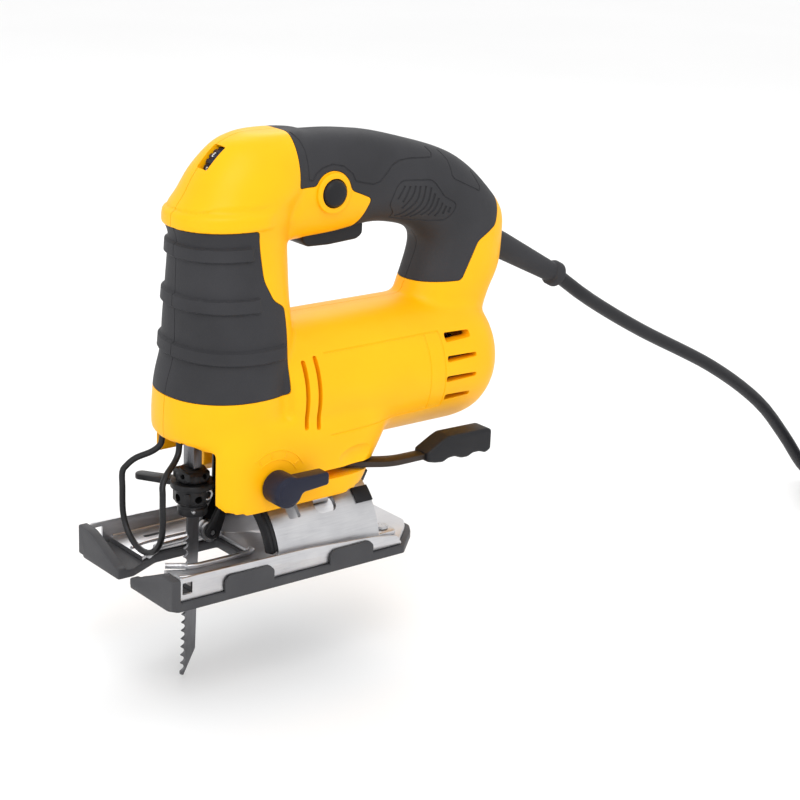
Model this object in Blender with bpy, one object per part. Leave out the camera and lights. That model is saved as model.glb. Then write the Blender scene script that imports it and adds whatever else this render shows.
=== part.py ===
"""Corded jigsaw, built from the separate pieces that it comes apart into on a bench.

Metres, +Z up. The origin is the centre of the shoe's sole. -X is the way the saw cuts,
+X the cord's end, and the two housing halves meet at Y = 0.
Lists of outline points are in millimetres and pass through mm().
"""

import math

import bmesh
import bpy
from mathutils import Matrix, Vector

MM = 0.001

# Shoe and the arch that it tilts on
SHOE_LENGTH = 0.144
SHOE_WIDTH = 0.080
SOLE_THICKNESS = 0.004
SHOE_SHEET = 0.0022
FLANGE_TOP = 0.015
SLOT_THROAT = 0.0094
SLOT_WIDTH = 0.025
TAB_THICKNESS = 0.0013
TAB_TOP = 0.0113
FLANGE_THICKNESS = 0.0012
TILT_AXIS_Z = 0.004
ARCH_RADIUS = 0.034
ARCH_WALL = 0.0025
ARCH_START = -0.012
ARCH_END = 0.044
TILT_DEGREES = 45

# Housing
WALL = 0.0028
SKIN = 0.0020
COLUMN_HALF_WIDTH = 0.030
HANDLE_HALF_WIDTH = 0.0175
BARREL_RADIUS = 0.032
MOTOR_AXIS_Z = 0.0805
SKIRT_HALF_WIDTH = 0.032
RECESS_HALF_WIDTH = 0.0236
RECESS_TOP = 0.062
NOSE_FLOOR = 0.069
BOSS_RADIUS = 0.005
SCREW_RADIUS = 0.0019

# Drive
SHAFT_RADIUS = 0.0035
GEAR_TEETH = 40
PINION_TEETH = 6
GEAR_MODULE = 0.001
GEAR_FACE = 0.006
CRANK_THROW = 0.010
CRANK_ANGLE = math.radians(-30)
CRANK_PIN_RADIUS = 0.003
PLUNGER_X = -0.0365
PLUNGER_DEPTH = 0.0045
PLUNGER_WIDTH = 0.0085
BUSH_WALL = 0.0016
STATOR_RADIUS = 0.026
ROTOR_RADIUS = 0.0164
BEARING_RADIUS = 0.011
SEAT_WALL = 0.003
REAR_BEARING_RADIUS = 0.0095
REAR_BEARING_X = 0.106
BEARING_RIB = 0.005

# Cutting end
CLAMP_RADIUS = 0.008
CLAMP_BOTTOM = 0.026
CLAMP_TOP = 0.048
BLADE_THICKNESS = 0.0012
BLADE_LEAN = 0.028
TOOTH_PITCH = 0.004
ROLLER_RADIUS = 0.0048
ROLLER_WIDTH = 0.005
WIRE_RADIUS = 0.0014
GUARD_HALF_WIDTH = 0.0168
GUARD_X = -0.0625
GUARD_LOW = 0.0137

# Controls
BUTTON_RADIUS = 0.0062
DIAL_RADIUS = 0.0095
SELECTOR_RADIUS = 0.0075
BOLT_RADIUS = 0.003
BOLT_X = 0.020
WASHER = 0.0014
BOLT_TOP = 0.0508
LEVER_Z = 0.0422
LEVER_THICKNESS = 0.003

# Cord
CORD_DIAMETER = 0.007
RELIEF_FLANGE = 0.0078
COIL_MEAN_RADIUS = 0.0385
COIL_LAYERS = 3
BENCH_Z = -0.053

# Clearances
GAP = 0.0003
RUNNING = 0.0004

ROUND = 24
SLIVER = 1e-5

GEAR_RADIUS = GEAR_TEETH * GEAR_MODULE / 2
PINION_RADIUS = PINION_TEETH * GEAR_MODULE / 2
GEAR_AXIS_Z = MOTOR_AXIS_Z + GEAR_RADIUS + PINION_RADIUS
SHOE_TOP = SOLE_THICKNESS + GAP + SHOE_SHEET
ARCH_INNER = ARCH_RADIUS - ARCH_WALL
SADDLE_RADIUS = ARCH_RADIUS + 0.0006
TILT_SWEEP = math.hypot(SHOE_WIDTH / 2, TAB_TOP - TILT_AXIS_Z) + 0.0006

parts = bpy.data.collections.new("jigsaw")
cutters = bpy.data.collections.new("cutters")


# ---------------------------------------------------------------- tools


def mm(*values):
    """Millimetres as metres, for one number or for a point."""
    if len(values) == 1:
        return values[0] * MM
    return tuple(value * MM for value in values)


def finish_mesh(bm, name):
    """A mesh object of this bmesh, with its faces outwards."""
    bmesh.ops.recalc_face_normals(bm, faces=bm.faces)
    mesh = bpy.data.meshes.new(name)
    bm.to_mesh(mesh)
    bm.free()
    item = bpy.data.objects.new(name, mesh)
    cutters.objects.link(item)
    item.hide_render = True
    item.display_type = "WIRE"
    return item


def box(name, low, high):
    """A block from its low corner to its high corner."""
    low, high = Vector(low), Vector(high)
    bm = bmesh.new()
    bmesh.ops.create_cube(bm, size=1)
    bmesh.ops.scale(bm, vec=high - low, verts=bm.verts)
    bmesh.ops.translate(bm, vec=(low + high) / 2, verts=bm.verts)
    return finish_mesh(bm, name)


def rounded_box(name, low, high, radius, segments=2):
    """A block with rounded edges."""
    item = box(name, low, high)
    bm = bmesh.new()
    bm.from_mesh(item.data)
    bmesh.ops.bevel(
        bm, geom=bm.edges, offset=radius, segments=segments, profile=0.5, affect="EDGES"
    )
    bm.to_mesh(item.data)
    bm.free()
    return item


def rod(name, start, end, radius, end_radius=None, count=ROUND):
    """A round bar or a cone between two points."""
    start, end = Vector(start), Vector(end)
    bm = bmesh.new()
    bmesh.ops.create_cone(
        bm,
        cap_ends=True,
        segments=count,
        radius1=radius,
        radius2=radius if end_radius is None else end_radius,
        depth=(end - start).length,
    )
    turn = (end - start).to_track_quat("Z", "Y").to_matrix().to_4x4()
    bmesh.ops.transform(bm, matrix=Matrix.Translation((start + end) / 2) @ turn, verts=bm.verts)
    return finish_mesh(bm, name)


def turned(name, profile, start, direction, count=ROUND):
    """A closed (distance, radius) profile spun about the axis from start along direction."""
    bm = bmesh.new()
    corners = [bm.verts.new((radius, 0, along)) for along, radius in profile]
    for first, second in zip(corners, corners[1:] + corners[:1]):
        if first.co.x > 1e-6 or second.co.x > 1e-6:
            bm.edges.new((first, second))
    bmesh.ops.spin(
        bm,
        geom=bm.verts[:] + bm.edges[:],
        axis=(0, 0, 1),
        cent=(0, 0, 0),
        angle=math.tau,
        steps=count,
        use_merge=True,
    )
    bmesh.ops.remove_doubles(bm, verts=bm.verts, dist=1e-6)
    turn = Vector(direction).to_track_quat("Z", "Y").to_matrix().to_4x4()
    bmesh.ops.transform(bm, matrix=Matrix.Translation(start) @ turn, verts=bm.verts)
    return finish_mesh(bm, name)


PLANES = {
    "XY": Matrix.Identity(4),
    "XZ": Matrix.Rotation(math.radians(90), 4, "X"),
    "YZ": Matrix(((0, 0, 1, 0), (1, 0, 0, 0), (0, 1, 0, 0), (0, 0, 0, 1))),
}
THROUGH = {"XY": (0, 0, 1), "XZ": (0, 1, 0), "YZ": (1, 0, 0)}


def slab(name, plane, outlines, low, high):
    """A flat outline, with any holes as further outlines, given thickness from low to high."""
    curve = bpy.data.curves.new(name, "CURVE")
    curve.dimensions = "2D"
    curve.fill_mode = "BOTH"
    curve.extrude = (high - low) / 2
    for outline in outlines:
        spline = curve.splines.new("POLY")
        spline.points.add(len(outline) - 1)
        for point, (u, v) in zip(spline.points, outline):
            point.co = (u, v, 0, 1)
        spline.use_cyclic_u = True
    guide = bpy.data.objects.new(name + "_outline", curve)
    cutters.objects.link(guide)
    mesh = bpy.data.meshes.new_from_object(guide.evaluated_get(bpy.context.evaluated_depsgraph_get()))
    bpy.data.objects.remove(guide)
    bm = bmesh.new()
    bm.from_mesh(mesh)
    bpy.data.meshes.remove(mesh)
    bmesh.ops.remove_doubles(bm, verts=bm.verts, dist=1e-6)
    shift = Vector(THROUGH[plane]) * (low + high) / 2
    bmesh.ops.transform(bm, matrix=Matrix.Translation(shift) @ PLANES[plane], verts=bm.verts)
    return finish_mesh(bm, name)


def circle(u, v, radius, count=ROUND, start=0.0, sweep=math.tau):
    """Points round a circle or an arc of it."""
    steps = count if abs(sweep - math.tau) < 1e-9 else count - 1
    return [
        (u + radius * math.cos(start + sweep * k / steps), v + radius * math.sin(start + sweep * k / steps))
        for k in range(count)
    ]


def oval_ring(bm, centre, across, over, power, count):
    """Vertices round a superellipse with these two half-axes."""
    ring = []
    for k in range(count):
        angle = math.tau * (k + 0.5) / count
        c, s = math.cos(angle), math.sin(angle)
        u = math.copysign(abs(c) ** (2 / power), c)
        v = math.copysign(abs(s) ** (2 / power), s)
        ring.append(bm.verts.new(Vector(centre) + Vector(across) * u + Vector(over) * v))
    return ring


def loft(name, sections, count=ROUND):
    """A solid through oval sections, each (centre, half-axis, half-axis, power)."""
    bm = bmesh.new()
    rings = [oval_ring(bm, *section, count) for section in sections]
    for low, high in zip(rings, rings[1:]):
        for k in range(count):
            after = (k + 1) % count
            bm.faces.new((low[k], low[after], high[after], high[k]))
    bm.faces.new(rings[0])
    bm.faces.new(rings[-1])
    bmesh.ops.triangulate(bm, faces=bm.faces)
    return finish_mesh(bm, name)


def tube(name, points, radius, resolution=2):
    """A round wire along smoothly joined points, as a closed mesh."""
    curve = bpy.data.curves.new(name, "CURVE")
    curve.dimensions = "3D"
    curve.bevel_depth = radius
    curve.bevel_resolution = resolution
    curve.use_fill_caps = True
    spline = curve.splines.new("POLY")
    spline.points.add(len(points) - 1)
    for target, point in zip(spline.points, points):
        target.co = (*point, 1)
    guide = bpy.data.objects.new(name + "_route", curve)
    cutters.objects.link(guide)
    mesh = bpy.data.meshes.new_from_object(guide.evaluated_get(bpy.context.evaluated_depsgraph_get()))
    bpy.data.objects.remove(guide)
    bm = bmesh.new()
    bm.from_mesh(mesh)
    bpy.data.meshes.remove(mesh)
    bmesh.ops.remove_doubles(bm, verts=bm.verts, dist=1e-6)
    return finish_mesh(bm, name)


def smooth_route(points, spacing):
    """Points about this far apart on a smooth curve through the given points."""
    points = [Vector(point) for point in points]
    ends = [2 * points[0] - points[1]] + points + [2 * points[-1] - points[-2]]
    route = [points[0]]
    for a, b, c, d in zip(ends, ends[1:], ends[2:], ends[3:]):
        steps = max(1, round((c - b).length / spacing))
        for k in range(1, steps + 1):
            t = k / steps
            route.append(
                0.5 * (2 * b + (c - a) * t + (2 * a - 5 * b + 4 * c - d) * t**2 + (3 * b - a - 3 * c + d) * t**3)
            )
    return route


def combined(target, others, operation):
    """Applies a Boolean of each other solid to the target and returns the target."""
    for other in others if isinstance(others, (list, tuple)) else [others]:
        change = target.modifiers.new("cut", "BOOLEAN")
        change.operation = operation
        change.object = other
        change.solver = "MANIFOLD"
        graph = bpy.context.evaluated_depsgraph_get()
        mesh = bpy.data.meshes.new_from_object(target.evaluated_get(graph))
        target.modifiers.clear()
        bm = bmesh.new()
        bm.from_mesh(mesh)
        bmesh.ops.remove_doubles(bm, verts=bm.verts, dist=SLIVER)
        bmesh.ops.dissolve_degenerate(bm, edges=bm.edges, dist=SLIVER)
        bmesh.ops.dissolve_limit(bm, angle_limit=math.radians(0.1), verts=bm.verts, edges=bm.edges)
        bmesh.ops.triangulate(bm, faces=bm.faces)
        bm.to_mesh(mesh)
        bm.free()
        target.data = mesh
    return target


def cut(target, *others):
    return combined(target, others, "DIFFERENCE")


def joined(target, *others):
    return combined(target, others, "UNION")


def kept(target, *others):
    return combined(target, others, "INTERSECT")


def copy_of(item, name):
    twin = bpy.data.objects.new(name, item.data.copy())
    cutters.objects.link(twin)
    twin.hide_render = True
    twin.display_type = "WIRE"
    return twin


MATERIALS = {}


def material(name, colour, roughness, metallic=0.0):
    made = bpy.data.materials.new(name)
    made.use_nodes = True
    shader = made.node_tree.nodes["Principled BSDF"]
    shader.inputs["Base Color"].default_value = (*colour, 1)
    shader.inputs["Roughness"].default_value = roughness
    shader.inputs["Metallic"].default_value = metallic
    MATERIALS[name] = made


def part(item, name, finish, sharp=35):
    """Moves a finished solid into the part's own collection, with its name and material."""
    item.name = name
    item.data.name = name
    cutters.objects.unlink(item)
    parts.objects.link(item)
    item.hide_render = False
    item.display_type = "TEXTURED"
    item.data.materials.clear()
    item.data.materials.append(MATERIALS[finish])
    item.data.shade_smooth()
    item.data.set_sharp_from_angle(angle=math.radians(sharp))
    return item


# ---------------------------------------------------------------- housing shape

# Height, front, back and share of the half-width of the gear column, from its mouth to the crown
COLUMN = [
    (63.5, -51.5, 9.0, 1.00),
    (70, -52.0, 9.0, 1.00),
    (85.5, -51.0, 9.0, 1.00),
    (92, -49.5, 8.5, 1.00),
    (101, -46.8, 8.0, 1.00),
    (110, -46.2, 7.5, 0.99),
    (130, -46.0, 7.0, 0.86),
    (150, -45.4, 7.0, 0.765),
    (154, -45.2, 7.0, 0.76),
    (158, -47.5, 8.0, 0.80),
    (165, -47.0, 10.0, 0.78),
    (170, -43.0, 16.0, 0.76),
    (180, -37.0, 22.0, 0.69),
    (187, -31.0, 25.0, 0.59),
    (193, -24.0, 26.0, 0.45),
    (196.4, -14.0, 26.0, 0.30),
]
COLUMN_POWER = 2.2
# Between these heights the crown's sections move down as the form is pulled in
CROWN_START = 180
CROWN_END = 196.4
# Underside point, top point and share of the half-width of the handle, from the column to the barrel
HANDLE = [
    ((6, 146), (6, 195.2), 1.0),
    ((30, 147), (28, 194.6), 1.0),
    ((54, 149.5), (50, 192.3), 1.0),
    ((71, 147), (76.5, 186.0), 1.0),
    ((82.5, 142), (100.5, 178.0), 1.0),
    ((86.5, 136), (121, 163.0), 1.0),
    ((84.5, 129), (134, 144.5), 1.0),
    ((81, 121), (133.5, 125.0), 0.98),
    ((78, 112), (127, 110.0), 0.98),
    ((77.5, 92), (120, 92.0), 0.98),
]
HANDLE_POWER = 2.3
# Distance along the motor axis and share of the radius; the last three sections close the end
BARREL = [(-4, 0.96), (4, 1.0), (99, 1.0), (108.5, 0.96), (115, 0.85), (119.5, 0.70), (122.5, 0.40)]
BARREL_CLOSING = 3
# Height, front, back and share of the half-width of the skirt round the arch
SKIRT = [(29.6, -42.5, 40, 0.96), (40, -43, 45, 0.98), (58, -43, 55, 1.0), (72, -43, 62, 0.96)]
SKIRT_POWER = 5

GRIP_OUTLINE = [
    (5, 205), (5, 172.4), (15.2, 172.4), (16.8, 175), (19.6, 177.4), (24.4, 178.6), (29.5, 177.2),
    (33, 173.5), (34.4, 168.7), (46, 164), (42, 151.5), (39.5, 146), (39.5, 141), (68, 130),
    (70, 119), (101, 119), (109.7, 137), (121, 143), (127, 157), (135, 170), (140, 205),
]
PAD_OUTLINE = [
    (-80, 158), (-18.5, 158), (-16.5, 136), (-12, 127), (-5.5, 123), (-4.2, 84), (-80, 84),
]
# Place of each housing screw, and how far out its head lies
SCREW_PLACES = {
    "handle": (66, 167, 16.5),
    "post": (112, 128, 16.5),
    "crown": (4, 183, 14.5),
    "barrel": (98, 57, 20),
}


def column_solid(inset):
    """The gear column, this much smaller all round."""
    sections = []
    for k, (z, front, back, share) in enumerate(COLUMN):
        low, high = front * MM + inset, back * MM - inset
        height = z * MM - inset * max(0, (z - CROWN_START) / (CROWN_END - CROWN_START))
        if k == 0 and inset > SKIN:
            height = NOSE_FLOOR
        width = COLUMN_HALF_WIDTH * share - inset
        centre = ((low + high) / 2, 0, height)
        sections.append((centre, ((high - low) / 2, 0, 0), (0, width, 0), COLUMN_POWER))
    return loft("column", sections)


def handle_solid(inset):
    """The closed handle, this much smaller all round."""
    sections = []
    for low, high, share in HANDLE:
        low, high = Vector(mm(low[0], 0, low[1])), Vector(mm(high[0], 0, high[1]))
        half = (high - low) / 2 - (high - low).normalized() * inset
        width = HANDLE_HALF_WIDTH * share - inset
        sections.append(((low + high) / 2, half, (0, width, 0), HANDLE_POWER))
    return loft("handle", sections)


def barrel_solid(inset):
    """The motor barrel, this much smaller all round."""
    sections = []
    for k, (x, share) in enumerate(BARREL):
        shift = 0
        if k == 0:
            shift = inset
        elif k >= len(BARREL) - BARREL_CLOSING:
            shift = -inset
        radius = BARREL_RADIUS * share - inset
        place = (x * MM + shift, 0, MOTOR_AXIS_Z)
        sections.append((place, (0, radius, 0), (0, 0, radius), 2))
    return loft("barrel", sections, 32)


def skirt_solid():
    sections = []
    for z, front, back, share in SKIRT:
        low, high = front * MM, back * MM
        half = ((high - low) / 2, 0, 0)
        width = SKIRT_HALF_WIDTH * share
        sections.append((((low + high) / 2, 0, z * MM), half, (0, width, 0), SKIRT_POWER))
    return loft("skirt", sections)


def body_solid(name, inset):
    """The housing's outer form, or the same form this much smaller."""
    body = joined(barrel_solid(inset), column_solid(inset), handle_solid(inset))
    if inset == 0:
        joined(body, skirt_solid())
    body.name = name
    return body


def zone(name, outline, shrink, reach=0.06):
    """A block through the housing over an overmould's outline, pulled in by shrink."""
    points = [Vector((x * MM, z * MM)) for x, z in outline]
    area = sum(a.x * b.y - b.x * a.y for a, b in zip(points, points[1:] + points[:1]))
    side = 1 if area > 0 else -1
    pulled = []
    for before, here, after in zip(points[-1:] + points[:-1], points, points[1:] + points[:1]):
        one, two = (here - before).normalized(), (after - here).normalized()
        normal = (Vector((-one.y, one.x)) + Vector((-two.y, two.x))) * side
        normal = normal / max(0.4, normal.length_squared / 2)
        pulled.append(tuple(here + normal * shrink))
    return slab(name, "XZ", [pulled], -reach, reach)


def half_space(name, side):
    """Everything on one side of the joint between the housing halves."""
    near, far = GAP / 2 * side, 0.08 * side
    return box(name, (-0.09, min(near, far), -0.02), (0.16, max(near, far), 0.21))


def vent_cutters(side):
    """Air slots: two upright ones at the front of the barrel and four lying ones at the rear."""
    made = []
    for x in (3, 9.5):
        made.append(box("front_vent", mm(x - 1.2, 24, 68), mm(x + 1.2, 40, 98)))
    for x, z, length in ((83, 96, 15), (82, 86.5, 17), (82, 77, 18), (84, 68, 16)):
        made.append(box("rear_vent", mm(x, 20, z - 1.5), mm(x + length, 40, z + 1.5)))
    if side < 0:
        for item in made:
            item.data.transform(Matrix.Scale(-1, 4, (0, 1, 0)))
            item.data.flip_normals()
    return made


def housing():
    """The two shells, the rubber grip and the rubber nose pad."""
    outer = body_solid("outer", 0)
    under = body_solid("under_skin", SKIN)
    under_grown = body_solid("under_skin_clear", SKIN - GAP)
    inner = body_solid("inner", SKIN + WALL)

    for x, z, _ in SCREW_PLACES.values():
        cut(inner, rod("boss", mm(x, -40, z), mm(x, 40, z), BOSS_RADIUS, count=16))
    rib_end = REAR_BEARING_X + BEARING_RIB
    rib = rod("bearing_rib", (REAR_BEARING_X, 0, MOTOR_AXIS_Z), (rib_end, 0, MOTOR_AXIS_Z), BARREL_RADIUS)
    cut(inner, rib)
    tilt_room = rod("tilt_room", (-0.09, 0, TILT_AXIS_Z), (0.09, 0, TILT_AXIS_Z), TILT_SWEEP, count=48)
    saddle = box("saddle", mm(-5, -13.5, 31), mm(38, 13.5, 50))
    arch_room = rod("arch_room", (-0.09, 0, TILT_AXIS_Z), (0.09, 0, TILT_AXIS_Z), SADDLE_RADIUS, count=64)
    recess = box("recess", (-0.08, -RECESS_HALF_WIDTH, 0), (-0.006, RECESS_HALF_WIDTH, RECESS_TOP))
    pocket = box("clamp_pocket", mm(-49, -12, 55), mm(-25, 12, 66))
    cut(outer, tilt_room)
    joined(outer, saddle)
    cut(outer, arch_room, recess, pocket)

    trigger_window = box("trigger_window", mm(15, -8, 130), mm(50, 8, 160))
    relief_hole = rod("relief_hole", relief_point(-0.012), relief_point(0.012), 0.0065 + RUNNING)
    holes = [
        trigger_window,
        relief_hole,
        plunger_bar("plunger_way", 0.050, 0.075, RUNNING + 0.0012),
        rod("bolt_hole", (BOLT_X, 0, 0.02), (BOLT_X, 0, BOLT_TOP + GAP + 0.0002), BOLT_RADIUS + GAP),
        box("lever_slot", (0.0048, -0.045, LEVER_Z - 0.0009), (0.052, 0.009, LEVER_Z + LEVER_THICKNESS + 0.0009)),
        rod("bearing_bore", mm(105, 0, 80.5), mm(112, 0, 80.5), REAR_BEARING_RADIUS + GAP),
        plunger_bar("bush_way", 0.0690, 0.1500, BUSH_WALL + GAP),
        dial_shape("dial_room", 0.0022, 0.0008),
        rod("relief_groove", relief_point(-0.0114), relief_point(-0.0081), RELIEF_FLANGE + GAP),
        rod("seat_room", mm(-9.4, 0, 80.5), mm(9, 0, 80.5), BEARING_RADIUS + SEAT_WALL + GAP),
        rod("orbit_pin_hole", mm(-20, -26.8, 52), mm(-20, 26.8, 52), 0.0023, count=16),
        rod("selector_hole", mm(-13.7, -45, 44.5), mm(-13.7, -20, 44.5), 0.0033, count=16),
    ]
    for side in (-1, 1):
        holes.append(rod("guard_hole", (-0.048, side * 0.007, 0.05), (-0.048, side * 0.007, 0.068), WIRE_RADIUS + GAP))
    for x, z, head_y in SCREW_PLACES.values():
        holes.append(rod("screw_hole", mm(x, -11, z), mm(x, 40, z), SCREW_RADIUS + GAP, count=12))
        holes.append(rod("head_hole", mm(x, head_y - 2.8, z), mm(x, 40, z), 0.0038 + GAP, count=16))
    button = rod("button_hole", mm(24.4, -30, 168.7), mm(24.4, -8, 168.7), BUTTON_RADIUS + GAP)
    button_boss = rod("button_boss", mm(24.4, -18.6, 168.7), mm(24.4, -12, 168.7), 0.009, 0.0095)

    solid = joined(copy_of(outer, "shell"), button_boss)
    cut(solid, cut(zone("grip_room", GRIP_OUTLINE, 0), under))
    cut(solid, cut(zone("pad_room", PAD_OUTLINE, 0), under))
    cut(solid, inner, button, *holes)
    skin = cut(copy_of(outer, "skin"), under_grown)
    for side, word in ((-1, "left"), (1, "right")):
        half = half_space("half_" + word, side)
        shell = kept(copy_of(solid, "shell_" + word), half)
        part(cut(shell, *vent_cutters(side)), "housing_" + word, "yellow plastic")
        grip = kept(copy_of(skin, "grip"), half, zone("grip_zone", GRIP_OUTLINE, GAP))
        button_clear = rod("button_clear", mm(24.4, -30, 168.7), mm(24.4, 0, 168.7), 0.0098)
        grip_holes = [trigger_window, relief_hole, button_clear]
        grip_holes += [rod("head", mm(x, 5, z), mm(x, 40, z), 0.0042) for x, z, _ in SCREW_PLACES.values()]
        part(cut(grip, *grip_holes), "grip_" + word, "charcoal rubber")
        pad = kept(copy_of(skin, "pad"), half, zone("pad_zone", PAD_OUTLINE, GAP))
        part(pad, "nose_pad_" + word, "charcoal rubber")


# ---------------------------------------------------------------- drive


def plunger_bar(name, low, high, extra):
    """A bar of the plunger's own section, this much larger all round."""
    x, y = PLUNGER_DEPTH / 2 + extra, PLUNGER_WIDTH / 2 + extra
    return box(name, (PLUNGER_X - x, -y, low), (PLUNGER_X + x, y, high))


def toothed(teeth, root, tip, root_half, tip_half, phase):
    """Outline of a gear with straight-sided teeth; the half-thicknesses are lengths."""
    points = []
    for k in range(teeth):
        middle = phase + math.tau * k / teeth
        for radius, offset in ((root, -root_half), (tip, -tip_half), (tip, tip_half), (root, root_half)):
            angle = middle + offset / radius
            points.append((radius * math.cos(angle), radius * math.sin(angle)))
    return points


def shifted(points, u, v):
    return [(a + u, b + v) for a, b in points]


def drive():
    """Motor shaft, bearings, gear, crank, plunger and what guides them."""
    axis = MOTOR_AXIS_Z
    front_bearing = turned(
        "b", [(0, SHAFT_RADIUS + GAP), (0, BEARING_RADIUS), (0.007, BEARING_RADIUS), (0.007, SHAFT_RADIUS + GAP)],
        (0.0005, 0, axis), (1, 0, 0),
    )
    part(front_bearing, "front_bearing", "steel")
    rear = [(0, SHAFT_RADIUS + GAP), (0, REAR_BEARING_RADIUS), (0.006, REAR_BEARING_RADIUS), (0.006, SHAFT_RADIUS + GAP)]
    part(turned("b", rear, (REAR_BEARING_X - 0.0005, 0, axis), (1, 0, 0)), "rear_bearing", "steel")

    shaft = rod("s", (-0.0125, 0, axis), (0.115, 0, axis), SHAFT_RADIUS, count=16)
    pinion = toothed(PINION_TEETH, PINION_RADIUS - 0.0009, PINION_RADIUS + 0.0006, 0.0006, 0.0003, math.radians(60))
    joined(shaft, slab("p", "YZ", [shifted(pinion, 0, axis)], -0.0215, -0.0115))
    part(shaft, "motor_shaft", "steel")

    core = toothed(12, ROTOR_RADIUS - 0.0035, ROTOR_RADIUS, 0.0020, 0.0034, 0)
    bore = circle(0, axis, SHAFT_RADIUS + GAP, 16)
    part(slab("r", "YZ", [shifted(core, 0, axis), bore], 0.042, 0.084), "rotor_core", "lamination")
    bars = toothed(16, 0.0098, 0.0105, 0.0013, 0.0013, 0)
    part(slab("c", "YZ", [shifted(bars, 0, axis), bore], 0.087, 0.099), "commutator", "copper")
    blades = toothed(11, 0.009, 0.0235, 0.0016, 0.0009, 0)
    part(slab("f", "YZ", [shifted(blades, 0, axis), bore], 0.026, 0.034), "cooling_fan", "black plastic")
    ring = [circle(0, axis, STATOR_RADIUS, 32), circle(0, axis, ROTOR_RADIUS + 0.0012, 32)]
    part(slab("st", "YZ", ring, 0.042, 0.084), "stator", "lamination")
    for side, word in ((-1, "left"), (1, "right")):
        near, far = 0.0108 * side, 0.0195 * side
        brush = box("b", (0.0895, min(near, far), axis - 0.0035), (0.0965, max(near, far), axis + 0.0035))
        part(brush, "brush_" + word, "carbon")
        near, far = 0.013 * side, 0.0255 * side
        holder = box("h", (0.0875, min(near, far), axis - 0.0055), (0.0985, max(near, far), axis + 0.0055))
        near, far = 0.005 * side, 0.0235 * side
        way = box("w", (0.0892, min(near, far), axis - 0.0038), (0.0968, max(near, far), axis + 0.0038))
        part(cut(holder, way), "brush_holder_" + word, "brass")

    front, back = -0.0200, -0.0200 + GEAR_FACE
    gear = toothed(GEAR_TEETH, GEAR_RADIUS - 0.0008, GEAR_RADIUS + 0.0006, 0.0008, 0.0003, math.radians(-90))
    bore = circle(0, GEAR_AXIS_Z, 0.0043, 16)
    wheel = slab("g", "YZ", [shifted(gear, 0, GEAR_AXIS_Z), bore], front, back)
    pin_y, pin_z = CRANK_THROW * math.cos(CRANK_ANGLE), GEAR_AXIS_Z + CRANK_THROW * math.sin(CRANK_ANGLE)
    yoke_back = PLUNGER_X + PLUNGER_DEPTH / 2 + GAP + 0.006
    joined(wheel, rod("c", (front + 0.001, pin_y, pin_z), (yoke_back + GAP, pin_y, pin_z), CRANK_PIN_RADIUS, count=16))
    part(wheel, "drive_gear", "steel")
    part(rod("a", (front + 0.0005, 0, GEAR_AXIS_Z), (-0.0045, 0, GEAR_AXIS_Z), 0.004, count=16), "gear_axle", "steel")

    half = CRANK_THROW + CRANK_PIN_RADIUS + RUNNING
    slot = [(-half, pin_z - 0.0034), (half, pin_z - 0.0034), (half, pin_z + 0.0034), (-half, pin_z + 0.0034)]
    edge = half + 0.003
    plate = [(-edge, pin_z - 0.0062), (edge, pin_z - 0.0062), (edge, pin_z + 0.0062), (-edge, pin_z + 0.0062)]
    part(slab("y", "YZ", [plate, slot], yoke_back - 0.006, yoke_back), "crank_yoke", "steel")
    part(plunger_bar("pl", CLAMP_TOP + GAP, 0.152, 0), "plunger", "polished steel")

    for word, low, high in (("lower", 0.0695, 0.0765), ("upper", 0.1405, 0.1485)):
        bush = plunger_bar("bu", low, high, BUSH_WALL)
        part(cut(bush, plunger_bar("w", low - 0.01, high + 0.01, RUNNING)), word + "_bush", "bronze")

    case = box("k", mm(-9, -14, 69.3), mm(-4, 14, 137))
    joined(case, rod("seat", mm(-8, 0, 80.5), mm(8.5, 0, 80.5), BEARING_RADIUS + SEAT_WALL))
    joined(case, box("top", mm(-36.5, -9, 139.8), mm(-4, 9, 149.5)))
    joined(case, box("neck", mm(-8.5, -9, 130), mm(-4.2, 9, 145)))
    joined(case, box("low", mm(-43.4, -9, 69.3), mm(-6, 9, 76)))
    ways = [
        rod("w", mm(0.2, 0, 80.5), mm(12, 0, 80.5), BEARING_RADIUS + GAP),
        rod("w", mm(-12, 0, 80.5), mm(4, 0, 80.5), SHAFT_RADIUS + 0.0015, count=16),
        rod("w", (-0.012, 0, GEAR_AXIS_Z), (0, 0, GEAR_AXIS_Z), 0.0043, count=16),
        plunger_bar("w", 0.060, 0.160, BUSH_WALL + GAP),
    ]
    part(cut(case, *ways), "gearcase", "cast aluminium")


# ---------------------------------------------------------------- cutting end


def blade_x(z):
    """Where the middle of the blade is at this height: it leans forward going down."""
    return PLUNGER_X - BLADE_LEAN * (CLAMP_BOTTOM - z)


def blade_outline():
    back, front = 0.0034, 0.0028
    top, tip = 0.0450, -0.0523
    points = [(blade_x(top) + back, top), (blade_x(tip) - 0.003, tip), (blade_x(tip) - 0.0042, tip + 0.004)]
    points.insert(1, (blade_x(tip + 0.012) + back, tip + 0.012))
    z = tip + 0.004
    while z < CLAMP_BOTTOM - 3 * TOOTH_PITCH:
        points.append((blade_x(z) - front - 0.0012, z))
        points.append((blade_x(z) - front + 0.0004, z + TOOTH_PITCH * 0.35))
        z += TOOTH_PITCH
    points.append((blade_x(z) - front, z))
    points.append((blade_x(top) - front, top))
    return points


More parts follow.
